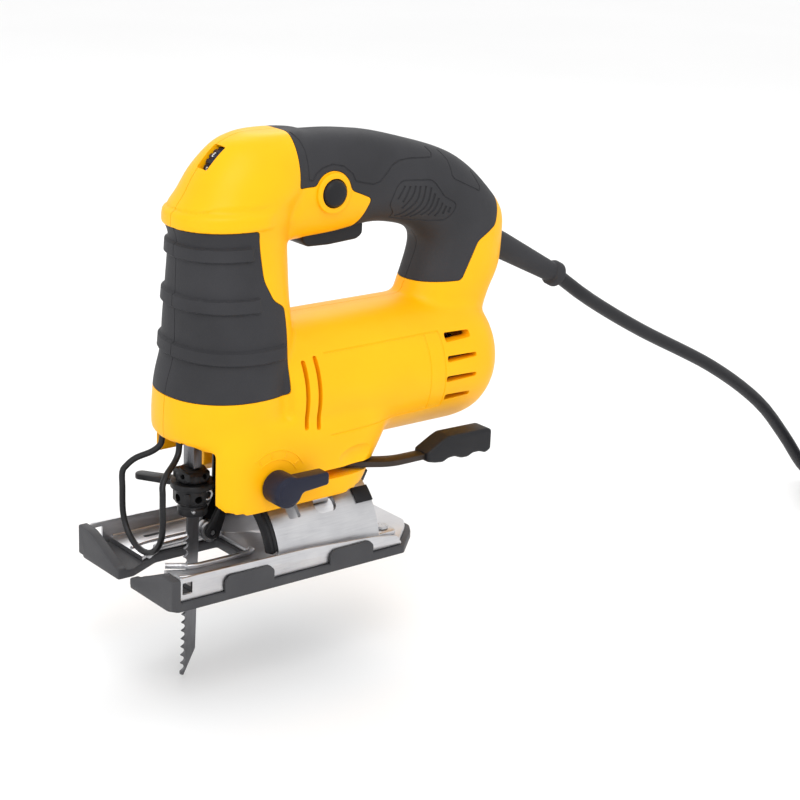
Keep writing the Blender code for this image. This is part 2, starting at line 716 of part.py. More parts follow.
def cutting_end():
    """Blade, its clamp, the roller that backs it and the wire guard."""
    half = BLADE_THICKNESS / 2
    part(slab("bl", "XZ", [blade_outline()], -half, half), "blade", "blade steel")

    groove = 0.0405
    profile = [
        (CLAMP_BOTTOM, 0), (CLAMP_BOTTOM, CLAMP_RADIUS - 0.0015), (CLAMP_BOTTOM + 0.002, CLAMP_RADIUS),
        (groove - 0.0018, CLAMP_RADIUS), (groove - 0.0018, CLAMP_RADIUS - 0.0018),
        (groove + 0.0018, CLAMP_RADIUS - 0.0018), (groove + 0.0018, CLAMP_RADIUS), (CLAMP_TOP, CLAMP_RADIUS), (CLAMP_TOP, 0),
    ]
    clamp = turned("cl", profile, (PLUNGER_X, 0, 0), (0, 0, 1))
    way = box("w", (PLUNGER_X - 0.0045, -half - GAP, 0.01), (PLUNGER_X + 0.0045, half + GAP, 0.0455))
    part(cut(clamp, way), "blade_clamp", "black steel")

    inner, outer = CLAMP_RADIUS - 0.0018 + GAP, CLAMP_RADIUS + 0.002
    ring = turned("r", [(-0.0014, inner), (-0.0014, outer), (0.0014, outer), (0.0014, inner)], (PLUNGER_X, 0, groove), (0, 0, 1))
    reach = Vector((-0.0145, 0.0215))
    side = Vector((-reach.y, reach.x)).normalized() * 0.0035
    root = reach.normalized() * (outer - 0.0012)
    arm = [root + side, root - side, reach - side * 0.8, reach * 1.06, reach + side * 0.8]
    arm = [(PLUNGER_X + point.x, point.y) for point in arm]
    part(joined(ring, slab("a", "XY", [arm], groove - 0.0013, groove + 0.0013)), "clamp_lever", "black steel")

    wheel_z = 0.0160
    wheel_x = blade_x(wheel_z) + 0.0034 + 0.0004 + ROLLER_RADIUS
    groove_depth = 0.0009
    w = ROLLER_WIDTH / 2
    profile = [
        (-w, 0.0014), (-w, ROLLER_RADIUS), (-0.0009, ROLLER_RADIUS), (-0.0006, ROLLER_RADIUS - groove_depth),
        (0.0006, ROLLER_RADIUS - groove_depth), (0.0009, ROLLER_RADIUS), (w, ROLLER_RADIUS), (w, 0.0014),
    ]
    part(turned("ro", profile, (wheel_x, 0, wheel_z), (0, 1, 0)), "guide_roller", "steel")
    part(rod("ax", (wheel_x, -0.0042, wheel_z), (wheel_x, 0.0042, wheel_z), 0.0011, count=12), "roller_axle", "steel")
    outline = [(wheel_x - 0.0024, 0.0145), (wheel_x - 0.0010, 0.0128), (wheel_x + 0.0034, 0.0133), (-0.0172, 0.034), (-0.0165, 0.054), (-0.0235, 0.054), (-0.0242, 0.030), (wheel_x - 0.0024, 0.0186)]
    arm = slab("or", "XZ", [outline], -0.0043, 0.0043)
    gap = box("w", (-0.05, -w - GAP, 0.005), (-0.0215, w + GAP, 0.0245))
    web = box("w", (-0.05, -w - GAP, 0.024), (-0.0222, w + GAP, 0.060))
    cut(arm, gap, rod("w", (wheel_x, -0.01, wheel_z), (wheel_x, 0.01, wheel_z), 0.0014, count=12))
    cut(arm, rod("w", mm(-20, -10, 52), mm(-20, 10, 52), 0.0023, count=16), web)
    part(arm, "orbit_arm", "black steel")
    part(rod("pi", mm(-20, -26.4, 52), mm(-20, 26.4, 52), 0.002, count=16), "orbit_pin", "steel")

    top = [mm(-48, 7, 66.8), mm(-48, 7, 62), mm(-48.8, 7.4, 58.5), mm(-52, 9.2, 55.5), mm(-58, 12.8, 52.5), mm(-61.4, 15.0, 49)]
    side_x, low = GUARD_X, GUARD_LOW
    middle_z = low + GUARD_HALF_WIDTH
    top += [(side_x, GUARD_HALF_WIDTH, 0.0455)]
    bend = [(side_x, GUARD_HALF_WIDTH * math.cos(a), middle_z + GUARD_HALF_WIDTH * math.sin(a)) for a in (math.radians(-k * 15) for k in range(13))]
    mirrored = [(x, -y, z) for x, y, z in reversed(top)]
    part(tube("gu", top + bend + mirrored, WIRE_RADIUS, 1), "wire_guard", "black steel")


# ---------------------------------------------------------------- shoe


def shoe_outline(grow=0.0):
    """Plan of the shoe: forked at the front, with its rear corners cut off."""
    front, back, side = -SHOE_LENGTH / 2 - grow, SHOE_LENGTH / 2 + grow, SHOE_WIDTH / 2 + grow
    throat, wide = SLOT_THROAT / 2 - grow, SLOT_WIDTH / 2 - grow
    half = [(front + 0.003, side), (back - 0.018, side), (back - 0.004, side - 0.013), (back, side - 0.019)]
    slot = [(-0.015 - grow, wide), (front + 0.024, wide), (front + 0.008, throat), (front, throat)]
    upper = slot + [(front, side - 0.004)] + half
    lower = [(x, -y) for x, y in reversed(upper)]
    return upper + lower


def shoe():
    """Pressed pan, black sole with its tabs and caps, and the half-round arch that it tilts on."""
    sole = slab("so", "XY", [shoe_outline()], 0, SOLE_THICKNESS)
    for side in (-1, 1):
        out, near = SHOE_WIDTH / 2 * side, (SHOE_WIDTH / 2 - TAB_THICKNESS) * side
        for start, end, top in ((-45, -19, 11.3), (11.5, 36, 10.8)):
            tab = [mm(start, 2), mm(end, 2), mm(end, top - 2.5), mm(end - 2.5, top), mm(start + 2.5, top), mm(start, top - 2.5)]
            joined(sole, slab("t", "XZ", [tab], min(out, near), max(out, near)))
        front = -SHOE_LENGTH / 2
        cap = [(side * SLOT_THROAT / 2, 0.002), (side * SLOT_THROAT / 2, 0.0048), (side * 0.0075, 0.0052)]
        cap += [(side * 0.0275, 0.0140), (side * 0.0310, 0.0150), (out, 0.0150), (out, 0.002)]
        joined(sole, slab("c", "YZ", [cap], front, front + 0.0045))
    part(sole, "shoe_sole", "black plastic")

    flange_out = SHOE_WIDTH / 2 - TAB_THICKNESS - GAP
    pan = slab("pa", "XY", [shoe_outline(-0.0020)], SOLE_THICKNESS + GAP, SHOE_TOP)
    trims = []
    for side in (-1, 1):
        out = flange_out * side
        near = out - FLANGE_THICKNESS * side
        start = -SHOE_LENGTH / 2 + 0.0045 + GAP
        lip = [(start, SOLE_THICKNESS + GAP), (0.054, SOLE_THICKNESS + GAP), (0.052, 0.009), (0.036, 0.0115), (0, 0.0140), (start, FLANGE_TOP)]
        hole = [mm(-66.6, 7.2), mm(-61.6, 7.2), mm(-61.6, 13), mm(-66.6, 13)]
        joined(pan, slab("l", "XZ", [lip, hole], min(out, near), max(out, near)))
        front = -SHOE_LENGTH / 2
        reach = (flange_out - FLANGE_THICKNESS) * side
        trims.append(box("w", (front - 0.01, min(0, reach), 0.003), (GUARD_X + 0.0055, max(0, reach), 0.03)))
        trims.append(box("w", (front - 0.01, min(0, side * 0.06), 0.003), (front + 0.0045 + GAP, max(0, side * 0.06), 0.03)))
    part(cut(pan, *trims), "shoe_pan", "pressed steel")

    arch = half_arch("ar", ARCH_RADIUS, ARCH_INNER, ARCH_START, ARCH_END)
    foot_low, foot_high = SHOE_TOP + GAP, SHOE_TOP + GAP + 0.0022
    for side in (-1, 1):
        near, far = (ARCH_INNER + 0.0002) * side, (flange_out - FLANGE_THICKNESS - 0.0012) * side
        joined(arch, box("f", (ARCH_START, min(near, far), foot_low), (ARCH_END, max(near, far), foot_high)))
        near, far = 0.0195 * side, (ARCH_INNER + 0.001) * side
        joined(arch, box("f", (ARCH_END - 0.0035, min(near, far), foot_low), (0.0565, max(near, far), foot_high)))
    slot_angle = math.radians(TILT_DEGREES + 8)
    slot = [(0, 0)] + circle(0, 0, 0.05, 9, math.radians(90) - slot_angle, 2 * slot_angle)
    slot = slab("w", "YZ", [shifted(slot, 0, TILT_AXIS_Z)], BOLT_X - BOLT_RADIUS - GAP, BOLT_X + BOLT_RADIUS + GAP)
    cut(arch, slot, box("w", (-0.05, -0.06, -0.05), (0.09, 0.06, foot_low)))
    rivets = []
    for side in (-1, 1):
        place = (0.0505, side * 0.0265)
        rivets.append(rod("w", (*place, 0.0), (*place, 0.02), 0.0022, count=12))
    cut(arch, *rivets)
    part(arch, "tilt_arch", "pressed steel")
    cut(bpy.data.objects["shoe_pan"], *rivets)
    for side, word in ((-1, "left"), (1, "right")):
        start = (0.0505, side * 0.0265, SOLE_THICKNESS + GAP)
        profile = [(0, 0), (0, 0.0019), (foot_high - start[2] + GAP, 0.0019), (foot_high - start[2] + GAP, 0.0034)]
        profile += [(foot_high - start[2] + 0.0013, 0.0030), (foot_high - start[2] + 0.0013, 0)]
        part(turned("ri", profile, start, (0, 0, 1), 12), "shoe_rivet_" + word, "steel")
    stop = half_arch("sb", ARCH_RADIUS - 0.0004, ARCH_RADIUS - 0.0075, ARCH_END + GAP, ARCH_END + 0.0065)
    wedge = [(0, 0)] + circle(0, 0, 0.05, 7, math.radians(63), math.radians(54))
    kept(stop, slab("w", "YZ", [shifted(wedge, 0, TILT_AXIS_Z)], 0.03, 0.07))
    part(stop, "tilt_stop", "black plastic")


def half_arch(name, outer, inner, start, end):
    """Half a pipe about the tilt axis."""
    low = math.radians(4)
    points = circle(0, 0, outer, 21, low, math.pi - 2 * low) + circle(0, 0, inner, 21, math.pi - low, 2 * low - math.pi)
    return slab(name, "YZ", [shifted(points, 0, TILT_AXIS_Z)], start, end)


# ---------------------------------------------------------------- controls


def dial_shape(name, extra_radius, extra_side):
    middle, y = mm(-20.8, 179.4), -0.0025
    return rod(name, (middle[0], y - 0.0026 - extra_side, middle[1]), (middle[0], y + 0.0026 + extra_side, middle[1]), DIAL_RADIUS + extra_radius, count=32)


def relief_point(along):
    """A point on the cord guard's axis, this far from where it leaves the housing."""
    root, end = Vector((0.1350, 0, 0.1299)), Vector((0.1778, 0, 0.1077))
    return root + (end - root).normalized() * along


def controls():
    """Trigger, lock button, speed dial, orbit selector, tilt lever and the switch behind them."""
    outline = [mm(15.8, 151), mm(15.8, 144), mm(18, 142.6), mm(46, 143.4), mm(49.2, 145.5), mm(49.2, 152.5), mm(24, 152.5), mm(20, 154), mm(17, 154)]
    part(slab("tr", "XZ", [outline], -0.0072, 0.0072), "trigger", "black plastic")
    part(rounded_box("sw", mm(31.6, -9.5, 158.5), mm(60, 9.5, 178), 0.001, 1), "switch_module", "black plastic")
    cap = [(0, 0), (0, BUTTON_RADIUS - 0.001), (0.001, BUTTON_RADIUS), (0.0125, BUTTON_RADIUS), (0.0125, 0)]
    cap = turned("bu", cap, mm(24.4, -20.8, 168.7), (0, 1, 0))
    part(cap, "lock_button", "black plastic")
    part(dial_shape("di", 0, 0), "speed_dial", "dark dial")

    start = mm(-13.7, -32.4, 44.5)
    hub = turned("se", [(-0.0120, 0), (-0.0120, SELECTOR_RADIUS - 0.001), (-0.011, SELECTOR_RADIUS), (0, SELECTOR_RADIUS), (0, 0.003), (0.013, 0.003), (0.013, 0)], start, (0, 1, 0))
    pointer = [mm(-15, 52), mm(-6, 49.6), mm(6.5, 47.4), mm(8, 45.4), mm(6.5, 42.4), mm(-6, 39.9), mm(-15, 37.1)]
    joined(hub, slab("po", "XZ", [pointer], mm(-43.4), mm(-36)))
    part(hub, "orbit_selector", "dark dial")

    part(clamp_bolt(), "tilt_bolt", "steel")
    part(washer(), "tilt_washer", "steel")
    z = LEVER_Z
    hub = turned("le", [(0, BOLT_RADIUS + GAP), (0, 0.0072), (LEVER_THICKNESS, 0.0072), (LEVER_THICKNESS, BOLT_RADIUS + GAP)], (BOLT_X, 0, z), (0, 0, 1))
    strip = [mm(17, -6), mm(24.6, -4.5), mm(33, -17.5), mm(52, -28.8), mm(70, -29.4), mm(70, -36.2), mm(48, -36.2), mm(25.5, -23)]
    joined(hub, slab("st", "XY", [strip], z + 0.0002, z + LEVER_THICKNESS - 0.0002))
    cut(hub, rod("w", (BOLT_X, 0, 0.03), (BOLT_X, 0, 0.05), BOLT_RADIUS + GAP))
    part(hub, "tilt_lever", "brown steel")
    paddle = rounded_box("pd", mm(66.5, -39.2, 38.2), mm(109.3, -26.8, 53.8), 0.0025)
    cut(paddle, slab("w", "XY", [[mm(60, -28.9), mm(70.4, -28.9), mm(70.4, -36.7), mm(60, -36.7)]], z - GAP, z + LEVER_THICKNESS + GAP))
    part(paddle, "lever_paddle", "black plastic")


def washer():
    """A flat plate between the bolt's head and the inside of the arch."""
    half = 0.006
    top = TILT_AXIS_Z + math.sqrt(ARCH_INNER**2 - half**2) - GAP
    plate = box("wa", (BOLT_X - 0.007, -half, top - WASHER), (BOLT_X + 0.007, half, top))
    return cut(plate, rod("w", (BOLT_X, 0, top - 0.01), (BOLT_X, 0, top + 0.01), BOLT_RADIUS + GAP))


def clamp_bolt():
    """The bolt that pulls the arch up against the housing."""
    seat = TILT_AXIS_Z + math.sqrt(ARCH_INNER**2 - 0.006**2) - WASHER - 2 * GAP
    head = seat - 0.0032
    profile = [(0, 0), (0, 0.0052), (seat - head, 0.0052), (seat - head, BOLT_RADIUS), (BOLT_TOP - head, BOLT_RADIUS), (BOLT_TOP - head, 0)]
    return turned("bo", profile, (BOLT_X, 0, head), (0, 0, 1), 18)


def screws():
    for word, (x, z, head_y) in SCREW_PLACES.items():
        y, end = head_y * MM, -0.0105
        profile = [(0, 0), (0, 0.0038), (0.0022, 0.0038), (0.0026, SCREW_RADIUS), (y - end, SCREW_RADIUS), (y - end, 0)]
        part(turned("sc", profile, (x * MM, y, z * MM), (0, -1, 0), 12), "housing_screw_" + word, "steel")


# ---------------------------------------------------------------- cord

CORD_ROUTE = [
    (178.3, 0, 107.4), (202, 0, 91.5), (240, 0, 70), (297, 0, 41), (338, 0, 14), (366, 2, -12),
    (388, 5, -34.5), (404, 7.2, -45.8), (418, 7.6, -49.3),
]
TAIL_ROUTE = [(429, -0.2, -26.4), (436.5, -2.9, -25.5), (441.8, -8.5, -24.0), (445, -15.2, -23.1)]
COIL_CENTRE = (0.4250, -0.0455)
TIE_ANGLE = math.radians(200)
TIE_WIDTH = 0.008
TIE_WALL = 0.001
PLUG_LENGTH = 0.036
PLUG_WAY = (0.422, -0.906, 0)


def cord():
    """Cord guard, the free cord, the wound coil with its tie, and the plug."""
    profile = [
        (-0.0110, 0), (-0.0110, RELIEF_FLANGE), (-0.0085, RELIEF_FLANGE), (-0.0085, 0.0065), (0.004, 0.0065), (0.032, 0.0054),
        (0.0434, 0.0050), (0.0444, 0.0064), (0.0482, 0.0064), (0.0482, 0),
    ]
    part(turned("re", profile, relief_point(0), relief_point(1) - relief_point(0), 16), "strain_relief", "charcoal rubber")
    route = smooth_route([mm(*point) for point in CORD_ROUTE], 2.2 * CORD_DIAMETER)
    part(tube("co", route, CORD_DIAMETER / 2), "cord", "cord rubber")
    route = smooth_route([mm(*point) for point in TAIL_ROUTE], CORD_DIAMETER)
    part(tube("ta", route, CORD_DIAMETER / 2), "cord_tail", "cord rubber")
    part(coil_ring(), "cord_coil", "cord rubber")
    part(coil_tie(), "cord_tie", "black plastic")
    part(plug(), "plug", "black plastic")


def coil_size():
    """Half the coil's thickness, and its lowest and highest level."""
    half = COIL_LAYERS * CORD_DIAMETER / 2
    low = BENCH_Z + TIE_WALL + 2 * GAP
    return half, low, low + 2 * half


def coil_ring():
    """The outer shape of the wound cord: a ring with blunted corners."""
    half, low, high = coil_size()
    corner = half * 0.55
    middle = COIL_MEAN_RADIUS
    profile = [
        (low, middle - corner), (low, middle + corner), (low + half - corner, middle + half),
        (high - half + corner, middle + half), (high, middle + corner), (high, middle - corner),
        (high - half + corner, middle - half), (low + half - corner, middle - half),
    ]
    return turned("ri", profile, (*COIL_CENTRE, 0), (0, 0, 1), 32)


def coil_tie():
    """A band round the coil."""
    half, low, high = coil_size()
    frames = []
    for grow in (2 * GAP + TIE_WALL, 2 * GAP):
        near, far = COIL_MEAN_RADIUS - half - grow, COIL_MEAN_RADIUS + half + grow
        frames.append([(near, low - grow), (far, low - grow), (far, high + grow), (near, high + grow)])
    band = slab("ti", "XZ", frames, -TIE_WIDTH / 2, TIE_WIDTH / 2)
    turn = Matrix.Translation((*COIL_CENTRE, 0)) @ Matrix.Rotation(TIE_ANGLE, 4, "Z")
    band.data.transform(turn)
    return band


def plug():
    """A plain two-pin plug lying on the bench at the tail's end."""
    tail = Vector(mm(*TAIL_ROUTE[-1]))
    along = Vector(PLUG_WAY).normalized()
    side = Vector((along.y, -along.x, 0))
    start = tail + along * (GAP + 0.0006)
    sections = []
    for share, across, over in ((0, 5.6, 5.2), (0.22, 6.2, 5.8), (0.45, 12.2, 7.0), (1, 13, 7.0)):
        sections.append((start + along * PLUG_LENGTH * share, side * mm(across), (0, 0, mm(over)), 4))
    body = loft("pl", sections, 16)
    for offset in (-0.0093, 0.0093):
        root = start + along * (PLUG_LENGTH - 0.002) + side * offset
        joined(body, rod("pin", root, root + along * 0.021, 0.0023, count=12))
    return body


# ---------------------------------------------------------------- build


def main():
    for item in list(bpy.data.objects):
        bpy.data.objects.remove(item)
    for collection in (parts, cutters):
        bpy.context.scene.collection.children.link(collection)
    material("yellow plastic", (1.0, 0.50, 0.0), 0.42)
    material("charcoal rubber", (0.045, 0.045, 0.050), 0.72)
    material("black plastic", (0.02, 0.02, 0.022), 0.5)
    material("dark dial", (0.03, 0.032, 0.045), 0.4)
    material("pressed steel", (0.55, 0.56, 0.57), 0.38, 1.0)
    material("cast aluminium", (0.6, 0.6, 0.6), 0.5, 1.0)
    material("steel", (0.5, 0.5, 0.5), 0.3, 1.0)
    material("polished steel", (0.65, 0.65, 0.66), 0.2, 1.0)
    material("black steel", (0.03, 0.03, 0.032), 0.45, 0.8)
    material("brown steel", (0.05, 0.04, 0.035), 0.4, 0.8)
    material("blade steel", (0.3, 0.3, 0.31), 0.4, 1.0)
    material("lamination", (0.25, 0.25, 0.26), 0.5, 1.0)
    material("copper", (0.7, 0.35, 0.2), 0.35, 1.0)
    material("brass", (0.7, 0.55, 0.25), 0.35, 1.0)
    material("bronze", (0.5, 0.35, 0.2), 0.5, 1.0)
    material("carbon", (0.03, 0.03, 0.03), 0.6)
    material("cord rubber", (0.03, 0.03, 0.033), 0.6)
    housing()
    drive()
    cutting_end()
    shoe()
    controls()
    screws()
    cord()


main()
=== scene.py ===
# %% [markdown]
# # A corded jigsaw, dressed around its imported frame
#
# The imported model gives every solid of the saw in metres, at rest, with the sole's centre at
# the origin. This lesson keeps the solids whose shapes are already right, models the visible
# pieces again in finer detail, and gives each one a finish made from shader nodes.
#
# The saw cuts towards -X, its cord leaves towards +X, and Z is up. Lengths in the tables are
# in millimetres, because that is how a tool maker would write them; mm() makes them metres.

import math

import bmesh
import bpy
from mathutils import Matrix, Vector
from mathutils.bvhtree import BVHTree


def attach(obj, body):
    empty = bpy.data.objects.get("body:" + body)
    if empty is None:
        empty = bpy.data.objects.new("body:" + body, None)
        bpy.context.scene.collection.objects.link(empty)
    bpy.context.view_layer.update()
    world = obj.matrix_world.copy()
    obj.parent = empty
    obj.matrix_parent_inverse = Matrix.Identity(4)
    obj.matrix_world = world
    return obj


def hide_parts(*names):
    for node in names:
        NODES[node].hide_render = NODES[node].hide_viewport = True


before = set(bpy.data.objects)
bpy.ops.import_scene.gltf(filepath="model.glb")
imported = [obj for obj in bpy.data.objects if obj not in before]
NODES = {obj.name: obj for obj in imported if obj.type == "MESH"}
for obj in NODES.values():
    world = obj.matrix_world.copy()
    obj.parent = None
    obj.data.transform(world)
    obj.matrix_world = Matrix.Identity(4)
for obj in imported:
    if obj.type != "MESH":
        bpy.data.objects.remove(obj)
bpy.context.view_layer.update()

# %% [markdown]
# ## Camera
#
# A long lens a metre or so away flattens perspective, as in a catalogue picture. The camera's
# axes are built from an azimuth, an elevation and a small roll, which is easier to read than
# three Euler angles.

# %% Camera
AZIMUTH, ELEVATION, ROLL = (math.radians(a) for a in (-39, 18.1, 2.25))
CAMERA_PLACE = (-0.4904, -0.7048, 0.3554)
FOCAL_LENGTH, SENSOR_WIDTH = 90, 36


def mm(*values):
    """Millimetres as metres: one number, or a vector of several."""
    if len(values) == 1:
        return values[0] * 0.001
    return Vector(values) * 0.001


def linked(name, data):
    """A new object that holds the data, in the scene."""
    item = bpy.data.objects.new(name, data)
    bpy.context.scene.collection.objects.link(item)
    return item


def camera_axes():
    """Right, up and backward directions of the camera."""
    back = Vector((
        math.sin(AZIMUTH) * math.cos(ELEVATION),
        -math.cos(AZIMUTH) * math.cos(ELEVATION),
        math.sin(ELEVATION),
    ))
    right = Vector((math.cos(AZIMUTH), math.sin(AZIMUTH), 0))
    up = back.cross(right)
    c, s = math.cos(ROLL), math.sin(ROLL)
    return c * right + s * up, c * up - s * right, back


def add_camera():
    data = bpy.data.cameras.new("view")
    data.lens, data.sensor_width = FOCAL_LENGTH, SENSOR_WIDTH
    item = linked("view", data)
    turn = Matrix(camera_axes()).transposed().to_4x4()
    item.matrix_world = Matrix.Translation(CAMERA_PLACE) @ turn
    bpy.context.scene.camera = item
    print("camera at", [round(v, 3) for v in item.location])


add_camera()

# %% [markdown]
# ## Shader sums
#
# A node tree is hard to read as a list of links. This small class wraps a socket and lets
# Python's own operators add Math nodes, so a mask can be written as 1 - lines * 0.3.

# %% Sockets that do sums


class Wire:
    """A shader socket that can be used in a sum."""

    def __init__(self, tree, socket):
        self.tree, self.socket = tree, socket

    def sum(self, operation, first, second):
        node = self.tree.nodes.new("ShaderNodeMath")
        node.operation = operation
        for target, value in zip(node.inputs, (first, second)):
            connect(self.tree, value, target)
        return Wire(self.tree, node.outputs[0])

    def __add__(self, other):
        return self.sum("ADD", self, other)

    def __sub__(self, other):
        return self.sum("SUBTRACT", self, other)

    def __mul__(self, other):
        return self.sum("MULTIPLY", self, other)

    def __rsub__(self, other):
        return self.sum("SUBTRACT", other, self)

    __radd__ = __add__
    __rmul__ = __mul__


def connect(tree, value, target):
    """Puts a wire or a plain value into a socket."""
    if isinstance(value, Wire):
        tree.links.new(value.socket, target)
    else:
        target.default_value = value


class Finish:
    """A material with one Principled shader and a short way to add nodes."""

    def __init__(self, name):
        self.material = bpy.data.materials.new(name)
        self.material.use_nodes = True
        self.tree = self.material.node_tree
        self.shader = self.tree.nodes["Principled BSDF"]
        self.place = self.node("TexCoord", output="Object")

    def node(self, kind, settings=None, output=0, **values):
        """One node: its settings first, then its inputs by name or by i0, i1."""
        node = self.tree.nodes.new("ShaderNode" + kind)
        for key, value in (settings or {}).items():
            setattr(node, key, value)
        for key, value in values.items():
            slot = int(key[1:]) if key[0] == "i" and key[1:].isdigit() else key
            connect(self.tree, value, node.inputs[slot])
        return Wire(self.tree, node.outputs[output])

    def noise(self, scale, detail=2.0, stretch=None):
        """Noise whose scale is in cells per metre; stretch multiplies it along each axis."""
        place = self.place
        if stretch:
            place = self.node("Mapping", Vector=self.place, Scale=stretch)
        return self.node("TexNoise", Vector=place, Scale=scale, Detail=detail)

    def blend(self, factor, first, second):
        """A colour between two colours."""
        return self.node("Mix", {"data_type": "RGBA"}, 2, i0=factor, i6=first, i7=second)

    def ramp(self, value, low, high):
        """0 below low, 1 above high, and a straight slope between."""
        return self.node("MapRange", i0=value, i1=low, i2=high)

    def bump(self, height, depth):
        """A surface normal from a height in units of depth metres."""
        return self.node("Bump", Height=height, Distance=depth, Strength=1.0)

    def set(self, **sockets):
        for key, value in sockets.items():
            connect(self.tree, value, self.shader.inputs[key.replace("_", " ")])
        return self.material


print("socket class ready")

# %% [markdown]
# ## Finishes
#
# Moulded plastic isn't flat: the tool's spark-eroded cavity leaves a grain about a third of a
# millimetre across, and the colour drifts a little. Rubber has a finer, deeper grain and
# almost no shine. Metal shows the way it was worked: rolled sheet has long faint streaks,
# blasted castings are speckled, and ground rods carry fine lines along their length.

# %% Plastic and rubber
SHEEN = 0.22


def moulded(name, colour, drift, roughness, grain, depth):
    """Moulded plastic or rubber: a grain, a slow drift of colour and an uneven shine."""
    finish = Finish(name)
    cloud = finish.noise(35, 3)
    fine = finish.noise(grain, 3)
    shade = finish.blend(finish.ramp(cloud, 0.3, 0.7), (*colour, 1), (*drift, 1))
    shine = roughness + (fine - 0.5) * 0.22 + (cloud - 0.5) * 0.12
    return finish.set(
        Base_Color=shade, Roughness=shine, Normal=finish.bump(fine, depth), Specular_IOR_Level=SHEEN
    )


def metal(name, colour, dark, roughness, streak, depth=0.00003, metallic=1.0):
    """Worked metal: streaks along the way it was rolled or ground, and fine pits."""
    finish = Finish(name)
    lines = finish.noise(1.0, 3, streak)
    cloud = finish.noise(60, 4)
    pits = finish.noise(2600, 2)
    worn = finish.ramp(cloud * 0.6 + lines * 0.4, 0.32, 0.68)
    shade = finish.blend(worn, (*dark, 1), (*colour, 1))
    shine = roughness + (lines - 0.5) * 0.3 + (cloud - 0.5) * 0.15
    height = lines * 0.7 + pits * 0.3
    return finish.set(
        Base_Color=shade, Roughness=shine, Metallic=metallic, Normal=finish.bump(height, depth)
    )


YELLOW = moulded("yellow_plastic", (1.0, 0.475, 0.0), (0.98, 0.44, 0.0), 0.42, 2600, 0.00004)
RUBBER = moulded("charcoal_rubber", (0.034, 0.034, 0.038), (0.026, 0.026, 0.029), 0.62, 1900, 0.00009)
BLACK = moulded("black_plastic", (0.016, 0.016, 0.018), (0.010, 0.010, 0.012), 0.46, 2400, 0.00005)
SOLE = moulded("sole_plastic", (0.058, 0.058, 0.062), (0.042, 0.042, 0.046), 0.50, 1700, 0.00005)
DIAL = moulded("dark_dial", (0.014, 0.016, 0.034), (0.009, 0.010, 0.022), 0.36, 2400, 0.00004)
SATIN_RUBBER = moulded("cord_rubber", (0.018, 0.018, 0.021), (0.012, 0.012, 0.014), 0.44, 1500, 0.00004)
CARBON = moulded("carbon", (0.020, 0.020, 0.021), (0.035, 0.035, 0.036), 0.55, 3200, 0.00005)
WHITE_INK = moulded("white_ink", (0.80, 0.80, 0.78), (0.72, 0.72, 0.70), 0.5, 3000, 0.00001)
print("plastics and rubbers made")

# %% Metals
ALONG_X, ALONG_Z = (60, 2600, 2600), (2600, 2600, 70)
SHEET = metal("pressed_steel", (0.62, 0.62, 0.63), (0.47, 0.47, 0.49), 0.36, (110, 1500, 1500), 0.00002)
CAST = metal("cast_aluminium", (0.55, 0.55, 0.54), (0.40, 0.40, 0.40), 0.5, (700, 700, 700), 0.0001)
STEEL = metal("steel", (0.52, 0.52, 0.53), (0.36, 0.36, 0.37), 0.30, (900, 900, 900))
GROUND = metal("polished_steel", (0.17, 0.17, 0.18), (0.11, 0.11, 0.12), 0.30, ALONG_Z)
PHOSPHATE = metal(
    "black_steel", (0.030, 0.030, 0.032), (0.014, 0.014, 0.015), 0.40, (800, 800, 800), 0.00004, 0.75
)
BROWN = metal("brown_steel", (0.060, 0.047, 0.040), (0.030, 0.024, 0.020), 0.42, ALONG_X, 0.00003, 0.8)
BLADE = metal("blade_steel", (0.20, 0.20, 0.21), (0.12, 0.12, 0.125), 0.36, (1600, 1600, 90))
LAMINATION = metal("lamination", (0.26, 0.26, 0.27), (0.12, 0.12, 0.13), 0.5, (2600, 60, 60), 0.00006)
COPPER = metal("copper", (0.72, 0.34, 0.19), (0.45, 0.20, 0.11), 0.34, ALONG_X)
BRASS = metal("brass", (0.70, 0.53, 0.24), (0.48, 0.35, 0.15), 0.36, (900, 900, 900))
BRONZE = metal("bronze", (0.50, 0.34, 0.19), (0.30, 0.19, 0.10), 0.48, (1400, 1400, 1400), 0.00006)
SLOTS = {
    YELLOW: "yellow_plastic", RUBBER: "charcoal_rubber", BLACK: "black_plastic", SOLE: "black_plastic",
    DIAL: "dark_dial", SATIN_RUBBER: "cord_rubber", CARBON: "carbon", WHITE_INK: "dark_dial",
    SHEET: "pressed_steel", CAST: "cast_aluminium", STEEL: "steel", GROUND: "polished_steel",
    PHOSPHATE: "black_steel", BROWN: "brown_steel", BLADE: "blade_steel", LAMINATION: "lamination",
    COPPER: "copper", BRASS: "brass", BRONZE: "bronze",
}
print(len(SLOTS), "finishes made")

# %% [markdown]
# ## Cord
#
# The saw has about two and a quarter metres of round rubber cord. It leaves the cord guard,
# falls to the bench and is put away in a coil three cords wide and three high, with its plug
# on top. It is one curve with a round bevel, so its length can be measured. Within the coil
# each turn keeps its own place and changes over in its own stretch, so no two turns cross.
# CELLS lists those places as (column, layer). Angles round the coil are in degrees.

